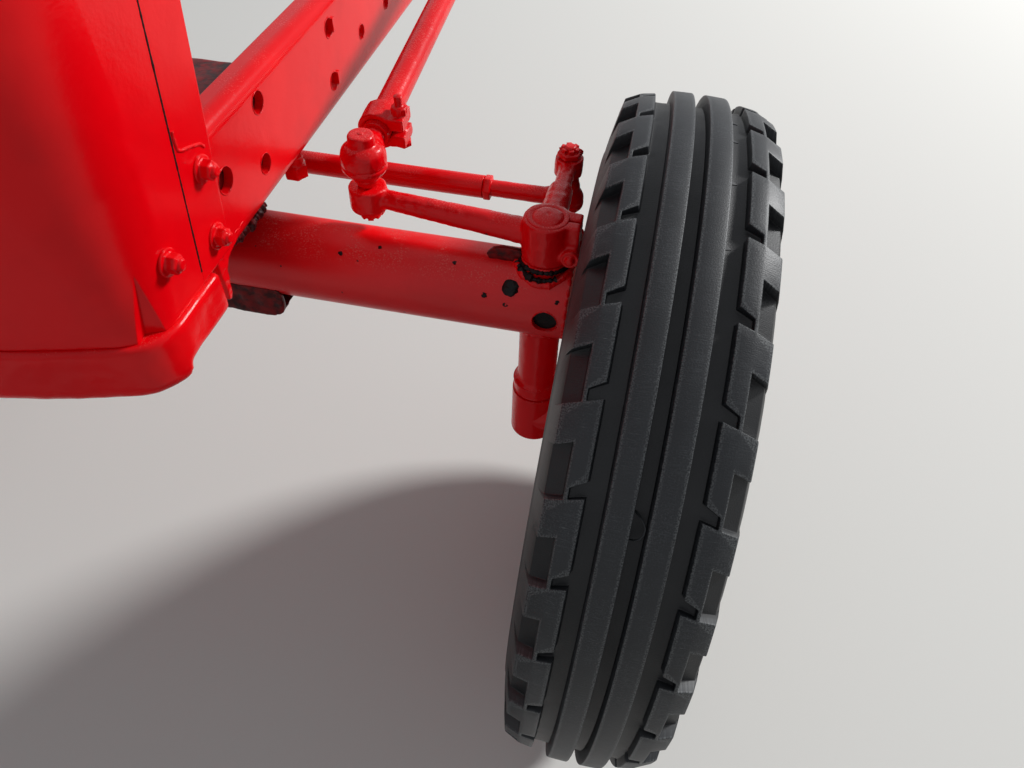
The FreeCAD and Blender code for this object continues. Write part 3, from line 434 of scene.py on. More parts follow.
def castMesh(mesh, voxel, rounds, rough, grain):
    # One skin over all its parts, smoothed so they flow together as in a casting; voxel, rough and grain in mm
    thing = bpy.data.objects.new("cast", mesh)
    scene.collection.objects.link(thing)
    skin = thing.modifiers.new("skin", "REMESH")
    skin.mode = "VOXEL"
    skin.voxel_size = voxel * mm
    flow = thing.modifiers.new("flow", "SMOOTH")
    flow.iterations = rounds
    flow.factor = 0.5
    result = bpy.data.meshes.new_from_object(thing.evaluated_get(bpy.context.evaluated_depsgraph_get()))
    bpy.data.objects.remove(thing)
    moved = []
    for place, way in [(vert.co.copy(), vert.normal.copy()) for vert in result.vertices]:
        spot = place / (grain * mm)
        moved.extend(place + way * (rough * mm * (noise.noise(spot) + 0.4 * noise.noise(spot * 2.7))))
    result.vertices.foreach_set("co", moved)
    result.update()
    return smoothed(result, 60)


def joined(name, *meshes):
    shape = bmesh.new()
    for mesh in meshes:
        shape.from_mesh(mesh)
    result = bpy.data.meshes.new(name)
    shape.to_mesh(result)
    shape.free()
    return smoothed(result, 45)


def fromNode(name):
    return nodes[name].data.copy()


# Castings and forgings that the paint has rounded: node, voxel, smoothing, roughness and its grain in mm
castings = {
    "bolster": (2.6, 5, 0.8, 26, "pressedBolster", "frame", "red_paint"),
    "axle_saddle": (2.8, 4, 1.2, 12, "axleSaddle", "axle", "red_paint"),
    "pivot_bracket": (4.4, 2, 0.5, 18, "pivotBracket", "frame", "cast_iron"),
    "kingpin_housing_left": (2.0, 2, 0.25, 8, "kingpinHousingLeft", "axle", "red_paint"),
    "kingpin_housing_right": (2.0, 2, 0.25, 8, "kingpinHousingRight", "axle", "red_paint"),
    "steering_arm_left": (1.4, 6, 0.45, 7, "forgedArmLeft", "knuckle_left", "red_paint"),
    "steering_arm_right": (1.6, 5, 0.45, 7, "forgedArmRight", "knuckle_right", "red_paint"),
    "drag_link_clamp": (1.0, 4, 0.3, 5, "dragLinkClamp", "drag_link", "red_paint"),
    "rail_lug_left": (1.0, 3, 0.3, 5, "underRailStudLeft", "frame", "red_paint"),
    "rail_lug_right": (1.0, 3, 0.3, 5, "underRailStudRight", "frame", "red_paint"),
}
for node, (voxel, rounds, rough, grain, name, body, slotName) in castings.items():
    mesh = castMesh(fromNode(node), voxel, rounds, rough, grain)
    # The pivot bracket takes the dark rusty paint so that the rail's holes show it dark: partly painted shade
    finish = {"bolster": sheetEnamel, "axle_saddle": rustyPaintAndInnerShade, "pivot_bracket": rustyPaintAndInnerShade}
    addPiece(name, mesh, finish.get(node, forgedEnamel), body, [node])
    print(name, len(mesh.polygons), "faces")


# Ball joints: turned housings with a crimped seam, castle nuts and pins
ballJoint = {
    "tieHousing": [(0, 0), (0, 12.4), (1.6, 14.2), (7.2, 19.1), (9, 19.5), (12.6, 19.5), (13.1, 18.6), (14.2, 18.6),
                   (14.7, 19.4), (19, 19.1), (25, 15.8), (28, 13.9), (29, 14.4), (33, 13.9), (36, 12.4), (38, 12.6),
                   (41, 10.8), (44.5, 9.4), (44.5, 0)],
    "linkHousing": [(-10.8, 0), (-10.8, 9.2), (-7, 10.6), (-4, 12.4), (-2.6, 12.2), (0, 14.4), (2, 16.6), (4.6, 19.6),
                    (7, 21.2), (10, 21.4), (10.5, 19.9), (12, 19.9), (12.5, 21.3), (16, 21.4), (20, 21.4),
                    (23, 21.0), (26, 19.9), (28.6, 18.0), (30.4, 15.6), (31.2, 13.6), (32, 12.6), (33, 12.9),
                    (39.4, 12.4), (41, 11.0), (41.3, 0)],
    "nutAcross": 23,
    "nutHeight": 10,
    "stud": 7,
}


def castleNutInto(shape, foot, way, proud=2.0):  # nut with six slots, its stud and its pin
    foot = Vector(foot)
    way = Vector(way)
    body = ballJoint["nutHeight"] * 0.6
    hexInto(shape, ballJoint["nutAcross"], body, foot, way, 0.3)
    for k in range(6):
        angle = math.radians(60 * k + 30) + 0.3
        out = Vector((math.cos(angle), math.sin(angle), 0))
        across = Vector((-out.y, out.x, 0)) * 2.7
        corners = [foot + way * body + out * 6 - across, foot + way * body + out * 9.6 - across,
                   foot + way * body + out * 9.6 + across, foot + way * body + out * 6 + across]
        slabInto(shape, corners, way * (ballJoint["nutHeight"] - body))
    stud = ballJoint["stud"]
    tip = ballJoint["nutHeight"] + proud
    turnedInto(shape, [(0, 0), (0, stud - 0.6), (tip - 1.4, stud - 0.6), (tip, stud - 2.2), (tip, 0)], foot, way, 24)
    pin = foot + way * (body + 1.9)
    tubeInto(shape, [pin + Vector((-11.5, -1, 0)), pin + Vector((11, 1, 0)), pin + Vector((12.6, 3, 0)) - way * 2.5,
                     pin + Vector((12.4, 4.2, 0)) - way * 6], 1.1)


def tieRodEnd():
    low = 18 - 14
    housing = bmesh.new()
    turnedInto(housing, ballJoint["tieHousing"], (522, 140, low), (0, 0, 1))
    turnedInto(housing, [(0, 0), (0, 13.5), (16, 12), (24, 9.4), (92, 9), (132, 9), (132, 0)],
               (522, 140, 18), (-1, 0, 0), 28)
    turnedInto(housing, [(0, 0), (0, 3.4), (3, 3.2), (4, 2), (5.5, 2.6), (7, 1.6), (7, 0)], (522, 140, low), (0, 0, -1), 12)
    nut = bmesh.new()
    castleNutInto(nut, (522, 140, 70), (0, 0, 1))
    turnedInto(nut, [(0, 0), (0, 7), (24, 7), (24, 0)], (522, 140, 47), (0, 0, 1), 24)
    tieNut = bmesh.new()
    hexInto(tieNut, 24, 9, (522 - 83, 140, 18), (-1, 0, 0), 0.2)  # lock nut against the tube
    parts = [castMesh(meshOf(housing, "housing", 0), 0.9, 3, 0.25, 6), meshOf(nut, "nut", 0.35),
             meshOf(tieNut, "lockNut", 0.5)]
    return joined("tieRodEnd", *parts)


tieEnd = tieRodEnd()
addPiece("tieRodEndLeft", tieEnd, forgedEnamel, "tie_rod", ["tie_rod_end_left"])
addPiece("tieRodEndRight", mirroredMesh(tieEnd), forgedEnamel, "tie_rod", ["tie_rod_end_right"])

linkSlope = math.radians(7)
linkWay = Vector((0, math.cos(linkSlope), math.sin(linkSlope)))
linkUp = Vector((0, -math.sin(linkSlope), math.cos(linkSlope)))
linkStart = Vector((344, 20, 112))


def dragLinkEnd():
    housing = bmesh.new()
    turnedInto(housing, ballJoint["linkHousing"], (344, 20, 96), (0, 0, 1))
    turnedInto(housing, [(0, 0), (0, 15), (20, 14.2), (27, 11.2), (34, 10.5), (82, 10.5), (82, 0)],
               linkStart, linkWay, 28)
    low = bmesh.new()
    turnedInto(low, [(0, 0), (0, 7), (27, 7), (27, 0)], (344, 20, 58), (0, 0, 1), 24)
    castleNutInto(low, (344, 20, 59), (0, 0, -1))
    cap = bmesh.new()
    turnedInto(cap, [(0, 0), (0, 2.6), (0.6, 2.6), (0.9, 1.2), (0.9, 0)], (344, 20, 137), (0, 0, 1), 12)
    parts = [castMesh(meshOf(housing, "housing", 0), 0.9, 3, 0.35, 6), meshOf(low, "nut", 0.35),
             meshOf(cap, "cap", 0.2)]
    return joined("dragLinkEnd", *parts)


addPiece("dragLinkBallFront", dragLinkEnd(), forgedEnamel, "drag_link", ["drag_link_end_front"])


def clampThread():  # the clamp's long bolt, its thread clogged with paint
    shape = bmesh.new()
    foot = linkStart + linkWay * (21.5 + 18 + 13) + Vector((21, 0, 0)) + linkUp * 15
    profile = [(0, 0), (0, 6)]
    for k in range(9):
        profile += [(8 + k * 1.25, 4.1), (8.6 + k * 1.25, 3.3)]
    turnedInto(shape, profile + [(19.6, 0)], foot, linkUp, 20)
    hexInto(shape, 14.5, 7.5, foot + linkUp * 0.3, linkUp, 0.5)
    hexInto(shape, 14.5, 5.0, foot - linkUp * 30.3, -linkUp, 0.2)
    return meshOf(shape, "clampThread", 0.25)


addPiece("clampBolt", clampThread(), forgedEnamel, "drag_link")
print("ball joints made")


# Kingpin tops and pinch bolts on the steering arms
def kingpinTop():
    shape = bmesh.new()
    turnedInto(shape, [(0, 0), (0, 20), (1.2, 19.2), (1.4, 15.8), (0.5, 15.2), (0.5, 14.2), (1.8, 13.6), (3.2, 10.6),
                       (4.0, 6), (4.2, 2.6), (3.4, 2.2), (3.4, 0)], (522, 0, 90.6), (0, 0, 1), 48)
    for z, half, radius in ((62, 20, 9.0),):
        for sign in (-1, 1):
            end = (547, sign * half, z)
            turnedInto(shape, [(-1, 0), (-1, radius), (0.8, radius - 0.4), (1.2, radius - 2), (0.6, radius - 2.4),
                               (0.6, 4.6), (3.6, 4.2), (4.6, 3.4), (4.8, 0)], end, (0, sign, 0), 28)
    return castMesh(meshOf(shape, "kingpinTop", 0), 0.8, 2, 0.25, 5)


top = kingpinTop()
addPiece("kingpinTopLeft", top, forgedEnamel, "knuckle_left")
addPiece("kingpinTopRight", mirroredMesh(top), forgedEnamel, "knuckle_right")


def grease():  # black ring and blob in the gap between the arm and its housing: grease, and painted shade in the gap
    shape = bmesh.new()
    ring = [(522 + 23.6 * math.cos(k / 24 * math.pi), 23.6 * math.sin(k / 24 * math.pi), 44.9) for k in range(48)]
    beadInto(shape, ring, 2.3, True, 0.6)
    front = [(522 + 26 * math.cos(k), 26 * math.sin(k), 40.5) for k in (3.5, 3.8, 4.1, 4.4, 4.7, 5.0, 5.3)]
    beadInto(shape, [(x, y, 35 + 0.25 * y + 9) for x, y, z in front], 3.0, False, 0.9)
    return meshOf(shape, "grease", 0)


# Welds, holes and spots on the axle's tube
def tubePoint(x, angle, radius=41.5):  # angle from the top towards the front
    return Vector((x, -radius * math.sin(angle), radius * math.cos(angle)))


def axleWelds():
    shape = bmesh.new()
    for sign in (1, -1):
        ring = []
        for k in range(40):
            angle = 2 * math.pi * k / 40
            reach = 26.5 if sign > 0 else 24
            y = reach * math.sin(angle)
            ring.append((522 + reach * math.cos(angle), y, sign * math.sqrt(41.8 ** 2 - y * y)))
        beadInto(shape, ring, 3.4 if sign > 0 else 2.8, True, 0.5)
    ring = [tubePoint(549, 2 * math.pi * k / 48, 40) for k in range(48)]
    beadInto(shape, ring, 2.0, True, 0.5)
    rim = []
    for k in range(28):
        angle = 2 * math.pi * k / 28
        z = 12.4 * math.sin(angle)
        rim.append((531 + 12.4 * math.cos(angle), -math.sqrt(41.5 ** 2 - z * z), z))
    beadInto(shape, rim, 0.9, True, 0.4)
    return castMesh(meshOf(shape, "axleWelds", 0), 0.9, 3, 0.4, 5)


def axleSpots():  # burnt weld drops, all black, and a black disc inside the open hole as painted shade
    shape = bmesh.new()
    for x, angle, radius, high in ((495, 0.84, 8.2, 2.2), (541, 1.01, 2.5, 0.25), (326, 0.65, 2.6, 0.5),
                                   (363, 0.36, 2.2, 0.4), (471, 1.09, 2.8, 0.5), (344, 0.78, 1.6, 0.3),
                                   (492, 1.25, 2.2, 0.4), (438, 0.45, 1.8, 0.3)):
        foot = tubePoint(x, angle, 41.1)
        way = tubePoint(0, angle).normalized()
        turnedInto(shape, [(0, radius), (0.4 + high * 0.4, radius * 0.86), (0.4 + high * 0.8, radius * 0.5),
                           (0.4 + high, 0)], foot, way, 18)
    for vert in shape.verts:
        vert.co += Vector((noise.noise(vert.co * 0.45), noise.noise(vert.co * 0.45 + Vector((9, 0, 0))), 0)) * 1.4
    for vert in shape.verts:
        vert.co += tubePoint(0, 0.84, 1.0) * (0.7 * noise.noise(vert.co * 0.6))
    # Black disc set inside the tube's hole: painted shade
    turnedInto(shape, [(0, 0), (0, 11.9), (1, 11.9), (1, 0)], (531, -36.5, 0), (0, 1, 0), 32)
    return meshOf(shape, "axleSpots", 0)


def stopEar():  # leaf-shaped stop welded beside the housing, rusty and dark
    shape = bmesh.new()
    slabInto(shape, [(470, -8, 39), (467, -8, 46), (473, -8, 52.5), (485, -8, 55.5), (500, -8, 54), (501, -8, 40)],
             (0, 5, 0))
    return castMesh(meshOf(shape, "stopEar", 0), 0.8, 3, 0.4, 5)


for word, turnOver in (("Left", False), ("Right", True)):
    for name, mesh, material in (("axleWelds", axleWelds(), forgedEnamel), ("axleSpots", axleSpots(), blackWeldAndPaintedShade),
                                 ("squeezedGreaseAndGapShade", grease(), blackWeldAndPaintedShade), ("stopEar", stopEar(), rustyPaintAndInnerShade)):
        mesh = mirroredMesh(mesh) if turnOver else mesh
        addPiece(name + word, mesh, material, "axle")


def housingDetails():  # groove's edges on the collar and a grease nipple behind
    shape = bmesh.new()
    for z in (-121.5, -133.5):
        ring = [(522 + 24.4 * math.cos(k / 24 * math.pi), 24.4 * math.sin(k / 24 * math.pi), z) for k in range(48)]
        tubeInto(shape, ring, 1.3, 8, True)
    turnedInto(shape, [(0, 0), (0, 4), (3, 4), (4, 2.4), (6, 3), (8, 1.8), (8, 0)], (522, 21, -80), (0, 1, 0.2), 12)
    turnedInto(shape, [(0, 0), (0, 4), (3, 4), (4, 2.4), (6, 3), (8, 1.8), (8, 0)], (522, 22.5, 44), (0, 1, 0.2), 12)
    return meshOf(shape, "housingDetails", 0.2)


details = housingDetails()
addPiece("housingDetailsLeft", details, forgedEnamel, "axle")
addPiece("housingDetailsRight", mirroredMesh(details), forgedEnamel, "axle")
print("axle's details made")


# Bolts, welds and edges on the nose and rails: (behind, up) from the axle's centre, on the outer face
noseSide = {
    "face": 262.0,
    "bolts": [(-105, 165, 0.2), (-113, 107, 0.5), (-179, 131, 0.9)],
    "ridge": [(-125, 208), (-126, 200), (-125.5, 193), (-121, 190), (-116, 189), (-107, 186), (-97, 182), (-93, 177)],
    "seam": [(-111.5, 318), (-145.5, 95)],
    "holes": [(-71, 132.5, 11.5), (8, 161.5, 10), (-3, 107.5, 9.5), (178, 156.5, 9.5), (172, 102.5, 9.5),
              (266, 116.5, 8), (355, 115.5, 8), (430, 147.5, 10), (500, 107.5, 10), (570, 147.5, 8)],
}


def noseBolts():
    shape = bmesh.new()
    x = noseSide["face"]
    for y, z, turn in noseSide["bolts"]:
        turnedInto(shape, [(-0.5, 0), (-0.5, 11.6), (1.5, 11.6), (2.2, 10.8), (2.2, 0)], (x, y, z), (1, 0, 0), 36)
        hexInto(shape, 14.5, 8.5, (x + 2.1, y, z), (1, 0, 0), turn)
        turnedInto(shape, [(0, 0), (0, 5), (2.4, 4.8), (3.2, 3.4), (3.3, 0)], (x + 10.4, y, z), (1, 0, 0), 24)
    return castMesh(meshOf(shape, "noseBolts", 0), 0.55, 2, 0.22, 4)


def paintEdges():  # paint drawn up round the rail's holes, the weld on the strip and nuts in two holes
    shape = bmesh.new()
    for y, z, radius in noseSide["holes"]:
        ring = [(257, y + (radius + 0.3) * math.cos(k / 16 * math.pi), z + (radius + 0.3) * math.sin(k / 16 * math.pi))
                for k in range(32)]
        beadInto(shape, ring, 0.75, True, 0.5)
    beadInto(shape, [(noseSide["face"], y, z) for y, z in noseSide["ridge"]], 1.5)
    for y, z in ((188.5, 156), (182.5, 102)):
        slabInto(shape, [(252, y - 3, z - 7), (252, y + 3, z - 7), (252, y + 3, z + 7), (252, y - 3, z + 7)], (7, 0, 0))
    return castMesh(meshOf(shape, "paintEdges", 0), 0.6, 2, 0.2, 4)


def hangingTongue():  # narrow strap left hanging from the rail
    shape = bmesh.new()
    outline = [(-117, 86), (-62, 86), (-72, 80), (-84, 76.5), (-98, 72), (-105, 64), (-107, 54), (-109, 42),
               (-112, 36.5), (-116, 38), (-115, 48), (-116.5, 66)]
    slabInto(shape, [(250, y, z) for y, z in outline], (7.2, 0, 0))
    return castMesh(meshOf(shape, "hangingTongue", 0), 0.8, 3, 0.5, 6)


def railWelds():
    shape = bmesh.new()
    beadInto(shape, [(247, -74, 69), (247, -62, 67), (249, -45, 66), (250, -28, 67), (249, -12, 68)], 4.6, False, 0.9)
    beadInto(shape, [(244, -70, 66), (240, -50, 64), (242, -30, 65)], 3.4, False, 0.9)
    return castMesh(meshOf(shape, "railWelds", 0), 0.8, 2, 0.9, 5)


# Dark bead along the seam between cowl and strip: painted shade in the seam's gap
def seamShadeLine():
    shape = bmesh.new()
    x = noseSide["face"]
    beadInto(shape, [(x - 0.35, y, z) for y, z in noseSide["seam"]], 1.0, False, 0.3)
    return meshOf(shape, "seamShadeLine", 0)


frameDetails = (("noseBolts", noseBolts(), sheetEnamel), ("paintEdges", paintEdges(), sheetEnamel),
                ("hangingTongue", hangingTongue(), forgedEnamel), ("railWelds", railWelds(), rustyPaintAndInnerShade),
                ("seamShadeLine", seamShadeLine(), blackWeldAndPaintedShade))
for name, mesh, material in frameDetails:
    addPiece(name + "Left", mesh, material, "frame")
    addPiece(name + "Right", mirroredMesh(mesh), material, "frame")
print("nose and rail details made")


# Radiator: tubes and fins over the core, a filler cap and side channels
radiator = {"half": 200, "front": -132, "rear": -78, "low": 133, "high": 429, "tubePitch": 10, "finPitch": 4.0}


def radiatorFins():
    shape = bmesh.new()
    for y, out in ((radiator["front"], -1), (radiator["rear"], 1)):
        x = -radiator["half"]
        while x <= radiator["half"]:
            slabInto(shape, [(x - 1.2, y, radiator["low"]), (x + 1.2, y, radiator["low"]),
                             (x + 1.2, y, radiator["high"]), (x - 1.2, y, radiator["high"])], (0, out * 2.4, 0))
            x += radiator["tubePitch"]
        z = radiator["low"] + 2
        while z < radiator["high"]:
            slabInto(shape, [(-radiator["half"], y, z), (radiator["half"], y, z), (radiator["half"], y, z + 0.7),
                             (-radiator["half"], y, z + 0.7)], (0, out * 1.5, 0))
            z += radiator["finPitch"]
    return meshOf(shape, "radiatorFins", 0)


def radiatorFrame():
    shape = bmesh.new()
    for sign in (-1, 1):
        x = sign * 203
        slabInto(shape, [(x - 3, -135, 128), (x + 2, -135, 128), (x + 2, -135, 434), (x - 3, -135, 434)], (0, 60, 0))
    for z in (130.5, 431.5):
        slabInto(shape, [(-206, -138, z - 3), (206, -138, z - 3), (206, -138, z + 3), (-206, -138, z + 3)], (0, 66, 0))
    turnedInto(shape, [(0, 0), (0, 21), (8, 21), (9, 23), (11, 23), (12, 27), (17, 27.5), (20, 26), (21.5, 14),
                       (21.5, 0)], (0, -105, 492), (0, 0, 1), 40)
    for y in (-122, -88):
        slabInto(shape, [(-150, y - 3, 492), (-40, y - 3, 492), (-40, y + 3, 492), (-150, y + 3, 492)], (0, 0, 1.8))
        slabInto(shape, [(40, y - 3, 492), (150, y - 3, 492), (150, y + 3, 492), (40, y + 3, 492)], (0, 0, 1.8))
    return meshOf(shape, "radiatorFrame", 0.8)


addPiece("radiatorFins", radiatorFins(), radiatorBlack, "frame")
addPiece("radiatorFrame", radiatorFrame(), radiatorBlack, "frame")


# Headlamps: bowl, bead and a fluted glass, where the CAD lamp's back lies 204 mm ahead of the axle
lamp = {"x": 178, "y": -204, "z": 474, "flutes": 15}


def lampBowl():
    shape = bmesh.new()
    turnedInto(shape, [(0, 0), (0, 22), (12, 39.6), (32, 44), (44, 44), (46.4, 43), (46.4, 40.6), (41, 40),
                       (30, 38), (14, 28), (5, 12), (3, 0)], (lamp["x"], lamp["y"], lamp["z"]), (0, -1, 0), 64)
    return meshOf(shape, "lampBowl", 0)


def lampLens():
    shape = bmesh.new()
    turnedInto(shape, [(43, 0), (43, 39.6), (45.6, 40.4), (47.6, 34), (49, 22), (49.6, 10), (49.8, 0)],
               (lamp["x"], lamp["y"], lamp["z"]), (0, -1, 0), 64)
    bmesh.ops.subdivide_edges(shape, edges=shape.edges[:], cuts=1)
    for vert in shape.verts:
        if vert.co.y < lamp["y"] - 46:
            vert.co.y += 0.35 * math.cos((vert.co.x - lamp["x"]) * lamp["flutes"] * math.pi / 40)
    return meshOf(shape, "lampLens", 0)


for word, turnOver in (("Left", False), ("Right", True)):
    for name, mesh, material in (("headlampBowl", lampBowl(), mirrorBowl), ("headlampGlass", lampLens(), lampGlass)):
        mesh = mirroredMesh(mesh) if turnOver else mesh
        held = ["headlamp_" + word.lower()] if name == "headlampBowl" else ()
        addPiece(name + word, mesh, material, "frame", held)
print("radiator and lamps made")


# Wheel nuts, valve and cap's ring, in the wheel's own frame with X outwards
wheel = {"face": 18.3, "circle": 76.2, "nuts": 6, "valveRadius": 176}


def wheelDetails(side):
    shape = bmesh.new()
    out = (side, 0, 0)
    for k in range(wheel["nuts"]):
        angle = 2 * math.pi * k / wheel["nuts"]
        foot = Vector((side * wheel["face"], wheel["circle"] * math.sin(angle), wheel["circle"] * math.cos(angle)))
        turnedInto(shape, [(-1, 0), (-1, 14), (1.6, 14), (2.2, 13), (2.2, 0)], foot, out, 28)
        hexInto(shape, 22, 13, foot + Vector((side * 2, 0, 0)), out, 0.2 + k)
        turnedInto(shape, [(0, 0), (0, 6.6), (6, 6.6), (7.4, 5.4), (7.4, 0)], foot + Vector((side * 14, 0, 0)), out, 20)
    ring = [(side * 49, 37.3 * math.cos(k / 24 * math.pi), 37.3 * math.sin(k / 24 * math.pi)) for k in range(48)]
    tubeInto(shape, ring, 1.5, 8, True)
    return meshOf(shape, "wheelDetails", 0.5, 35, wheelFrame(side))


def valveStem(side):
    shape = bmesh.new()
    tubeInto(shape, [(side * 12, 0, 178), (side * 22, 0, 176), (side * 38, 0, 171), (side * 52, 0, 165)],
             [4.6, 4.2, 3.6, 3.0], 14)
    turnedInto(shape, [(0, 0), (0, 4), (8, 4), (9, 3), (9, 0)], (side * 50, 0, 166), (side, 0, -0.4), 14)
    return meshOf(shape, "valveStem", 0.3, 35, wheelFrame(side))


for side, word in ((1, "left"), (-1, "right")):
    addPiece("wheelNuts" + word.capitalize(), wheelDetails(side), forgedEnamel, "wheel_" + word)
    addPiece("valveStem" + word.capitalize(), valveStem(side), tyreRubber, "wheel_" + word)


# Tyre: lines across half the section as (out, radius) at the tread's face and at the grooves' floor
tyre = {
    "lugs": 31,
    "stepsPerLug": 8,
    "phase": -0.15,        # radians, first line ahead of the top
    "slant": 0.30,         # lugs' ends run forward as they go outwards
    "pocketStart": 0.41,   # shares of one lug's pitch
    "notchStart": (0.83, 0.875),
    "edgeRound": 0.8,
    "lines": [
        ((0, 343.5), (0, 343.5)), ((6.2, 356), (5.2, 343.5)), ((15.6, 355.8), (15.6, 343.5)),
        ((25, 355.4), (26.2, 343.5)), ((33, 343), (33, 343)), ((41, 351), (39.6, 343)), ((52.6, 349.2), (52, 343.6)),
        ((55.4, 348.5), (56.2, 337)), ((68.7, 342.3), (69.6, 330)), ((72, 329), (72.4, 322)), ((75, 313), (75, 313)),
        ((77.6, 300), (77.6, 300)), ((78.6, 292), (78.6, 292)), ((79.8, 289), (79.8, 289)), ((79.8, 284), (79.8, 284)),
        ((78.4, 280), (78.4, 280)), ((77.6, 264), (77.6, 264)), ((74, 246), (74, 246)), ((68, 233), (68, 233)),
        ((68.4, 229), (68.4, 229)), ((65.4, 224), (65.4, 224)), ((60, 219), (60, 219)), ((56.6, 216), (56.6, 216)),
        ((56.4, 204), (56.4, 204)),
    ],
    "nubs": (-0.149, -0.047, 0.117, 0.30),   # moulding flash on the outer rib's edge, radians ahead of the top
}


def tyreMesh():  # both halves of the tread and the side walls, in the wheel's own frame
    lines = tyre["lines"]
    steps = tyre["stepsPerLug"]
    pitch = 2 * math.pi / tyre["lugs"]
    rows = len(lines)
    crown = lines[1][0][1]

    def share(i, j):  # where step i lies along the pitch, on line j
        if j in (5, 6) and i == steps - 1:
            return tyre["notchStart"][j - 5]
        if j in (7, 8, 9, 10) and i == 3:
            return tyre["pocketStart"] + (0.015 if j > 7 else 0)
        return i / steps

    def isLow(i, j):  # whether the cell past step i and line j lies at the floor
        if j in (0, 3, 4):
            return True
        if j in (1, 2):
            return False
        if j == 5:
            return i == steps - 1
        return 7 <= j <= 9 and i >= 3

    mesh = bmesh.new()
    uvLayer = mesh.loops.layers.uv.new("tread")
    wearAndPaintedLightLayer = mesh.verts.layers.float.new("wear")
    made = {}

    def corner(side, turnIndex, j, low):
        out, radius = lines[j][1 if low else 0]
        if lines[j][0] == lines[j][1]:
            low = False
        key = (side if out > 0 else 0, turnIndex % (steps * tyre["lugs"]), j, low)
        if key not in made:
            lug, i = divmod(turnIndex, steps)
            lean = tyre["slant"] * max(out - 41, 0) / crown + tyre["phase"]
            angle = pitch * (lug + share(i, j)) + lean
            vert = mesh.verts.new((side * out * mm, -radius * mm * math.sin(angle), radius * mm * math.cos(angle)))
            # The treads' faces take 1 and the side walls 0.35; the grooves' floors keep 0, which the rubber darkens as
            # painted shade
            if 1 <= j <= 8 and j != 4 and not low:
                vert[wearAndPaintedLightLayer] = 1.0
            elif j > 9:
                vert[wearAndPaintedLightLayer] = 0.35
            made[key] = vert
        return made[key]

    def face(*corners):
        unique = list(dict.fromkeys(corners))
        if len(unique) >= 3:
            mesh.faces.new(unique)

    for side in (-1, 1):
        for turnIndex in range(steps * tyre["lugs"]):
            i = turnIndex % steps
            for j in range(rows - 1):
                low = isLow(i, j)
                face(corner(side, turnIndex, j, low), corner(side, turnIndex + 1, j, low),
                     corner(side, turnIndex + 1, j + 1, low), corner(side, turnIndex, j + 1, low))
                if isLow(i, j + 1) != low:
                    face(corner(side, turnIndex, j + 1, False), corner(side, turnIndex + 1, j + 1, False),
                         corner(side, turnIndex + 1, j + 1, True), corner(side, turnIndex, j + 1, True))
                if isLow((i - 1) % steps, j) != low:
                    face(corner(side, turnIndex, j, False), corner(side, turnIndex, j + 1, False),
                         corner(side, turnIndex, j + 1, True), corner(side, turnIndex, j, True))
    bmesh.ops.recalc_face_normals(mesh, faces=mesh.faces)
    limit = math.radians(38)
    sharp = [e for e in mesh.edges if len(e.link_faces) == 2 and e.calc_face_angle(0) > limit]
    rounded = bmesh.ops.bevel(mesh, geom=sharp, offset=tyre["edgeRound"] * mm, segments=2, affect="EDGES", profile=0.5)
    # Rounded edges of the treads' faces take 2, which the rubber shows as a painted highlight
    worn = set(v for f in rounded["faces"] for v in f.verts if v[wearAndPaintedLightLayer] > 0.9 and math.hypot(*v.co.yz) > 0.3405)
    for vert in worn:
        vert[wearAndPaintedLightLayer] = 2.0
    for f in mesh.faces:
        middle = f.calc_center_median()
        base = math.atan2(-middle.y, middle.z)
        for loop in f.loops:
            turn = math.atan2(-loop.vert.co.y, loop.vert.co.z) - base
            turn = (turn + math.pi) % (2 * math.pi) - math.pi
            loop[uvLayer].uv = ((base + turn) * crown, loop.vert.co.x / mm)
    result = bpy.data.meshes.new("tyreMesh")
    mesh.to_mesh(result)
    mesh.free()
    return smoothed(result, 40)


def mouldFlash():  # thin tongues of rubber on a rib's edge and a loose loop in the middle groove
    shape = bmesh.new()

    def treadPoint(out, radius, angle):
        return (out, -radius * math.sin(angle), radius * math.cos(angle))

    for angle in tyre["nubs"]:
        slabInto(shape, [treadPoint(24.2, 354.4, angle - 0.007), treadPoint(29.5, 353.2, angle + 0.002),
                         treadPoint(24.2, 354.4, angle + 0.008)], (0, 0, -0.8))
    loop = [(-4.5, 344, 0.872), (-1, 347, 0.878), (2, 350, 0.886), (4, 352, 0.897), (3.6, 352.6, 0.910),
            (1, 352, 0.921), (-2, 350, 0.927), (-4.6, 347, 0.930)]
    tubeInto(shape, [treadPoint(*spot) for spot in loop], 0.7, 6)
    return shape


baseTyre = tyreMesh()
for side, word in ((1, "left"), (-1, "right")):
    mesh = baseTyre.copy()
    mesh.transform(wheelFrame(side))
    addPiece("ribbedTyre" + word.capitalize(), mesh, tyreRubber, "wheel_" + word, ["tyre_" + word])
    flash = meshOf(mouldFlash(), "mouldFlash", 0, 35, wheelFrame(side))
    wornAttribute = flash.attributes.new("wear", "FLOAT", "POINT")
    wornAttribute.data.foreach_set("value", [1.0] * len(flash.vertices))
    addPiece("mouldFlash" + word.capitalize(), flash, tyreRubber, "wheel_" + word)
print("tyres made:", len(baseTyre.polygons), "faces each")


# Floor, light and camera
studio = {"floor": "DDDCD8", "key": 850, "keyWay": (0.663, 0.557, 0.5), "keyFar": 9.0, "ambient": 0.34, "seen": 0.80}
floorZ = cadBox[0][2]


def floorPiece():
    material, tree = newMaterial("paleFloor")
    shader = addNode(tree, "ShaderNodeBsdfDiffuse", {"Color": linear(studio["floor"])})
    finishMaterial(tree, shader)
    mesh = bpy.data.meshes.new("floor")
    reach = 14.0
    mesh.from_pydata([(-reach, -reach, floorZ), (reach, -reach, floorZ), (reach, reach, floorZ),
                      (-reach, reach, floorZ)], [], [(0, 1, 2, 3)])
    mesh.materials.append(material)
    floor = bpy.data.objects.new("floor", mesh)
    scene.collection.objects.link(floor)


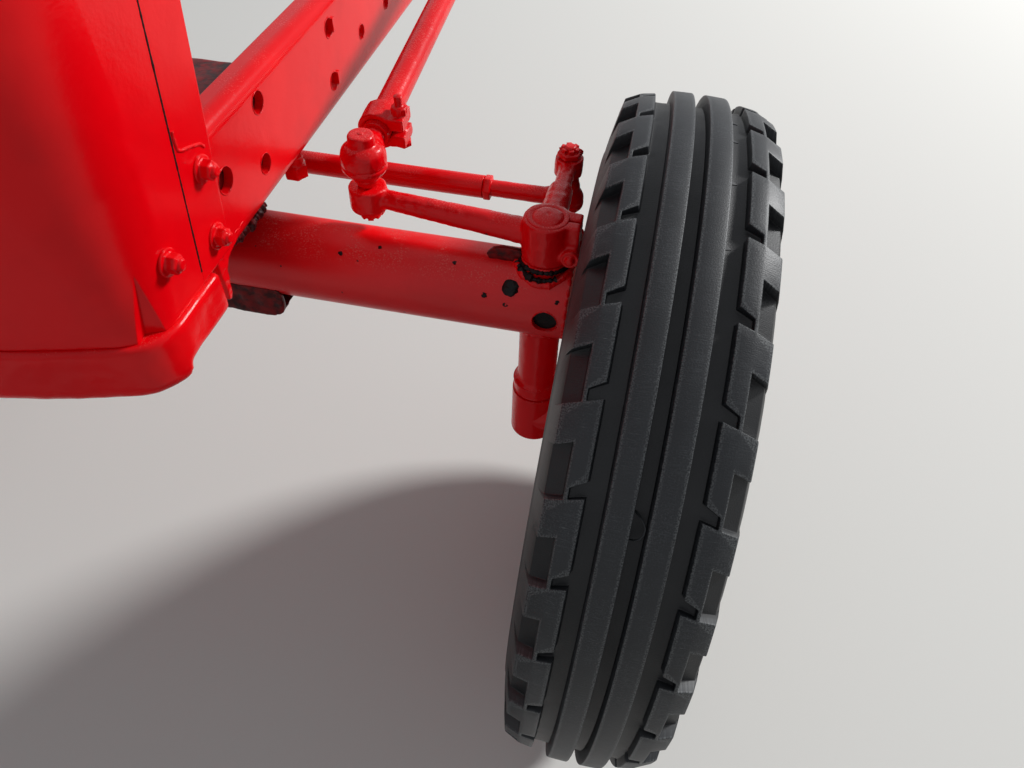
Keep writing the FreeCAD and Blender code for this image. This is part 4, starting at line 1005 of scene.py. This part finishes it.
def softLight(name, place, target, size, power):
    data = bpy.data.lights.new(name, "AREA")
    data.shape = "DISK"
    data.size = size
    data.energy = power
    light = bpy.data.objects.new(name, data)
    light.location = place
    light.rotation_euler = (Vector(target) - Vector(place)).to_track_quat("-Z", "Y").to_euler()
    scene.collection.objects.link(light)


def studioWorld():
    world = bpy.data.worlds.new("studio")
    scene.world = world
    world.use_nodes = True
    tree = world.node_tree
    tree.nodes.clear()
    path = addNode(tree, "ShaderNodeLightPath")
    seen = times(tree, path.outputs["Is Camera Ray"], path.outputs["Is Transmission Ray"], "MAXIMUM")
    seen = times(tree, seen, path.outputs["Is Glossy Ray"], "MAXIMUM")
    strength = addNode(tree, "ShaderNodeMapRange", {"Value": seen, "To Min": studio["ambient"], "To Max": studio["seen"]})
    sky = addNode(tree, "ShaderNodeBackground", {"Color": linear("EEF1F6"), "Strength": strength.outputs[0]})
    addNode(tree, "ShaderNodeOutputWorld", {"Surface": sky.outputs[0]})


def photoCamera():  # stands over the front of the left wheel and looks down and back along the axle
    place = Vector((0.5942, -1.204, 0.369))
    yaw, pitchDown, roll = math.radians(10.0), 0.839, 0.038
    ahead = Vector((-math.sin(yaw) * math.cos(pitchDown), math.cos(yaw) * math.cos(pitchDown), -math.sin(pitchDown)))
    flatRight = Vector((math.cos(yaw), math.sin(yaw), 0))
    flatUp = flatRight.cross(ahead)
    right = math.cos(roll) * flatRight + math.sin(roll) * flatUp
    up = -math.sin(roll) * flatRight + math.cos(roll) * flatUp
    data = bpy.data.cameras.new("photoCamera")
    data.sensor_width = 36
    data.lens = 26.59
    data.clip_start = 0.02
    camera = bpy.data.objects.new("photoCamera", data)
    turn = Matrix((right, up, -ahead)).transposed().to_4x4()
    camera.matrix_world = Matrix.Translation(place) @ turn
    scene.collection.objects.link(camera)
    scene.camera = camera


floorPiece()
studioWorld()
aim = Vector((0.40, -0.70, -0.20))
softLight("key", aim + Vector(studio["keyWay"]) * studio["keyFar"], aim, 1.5, studio["key"])
photoCamera()
scene.view_settings.view_transform = "Standard"
print("stage set")
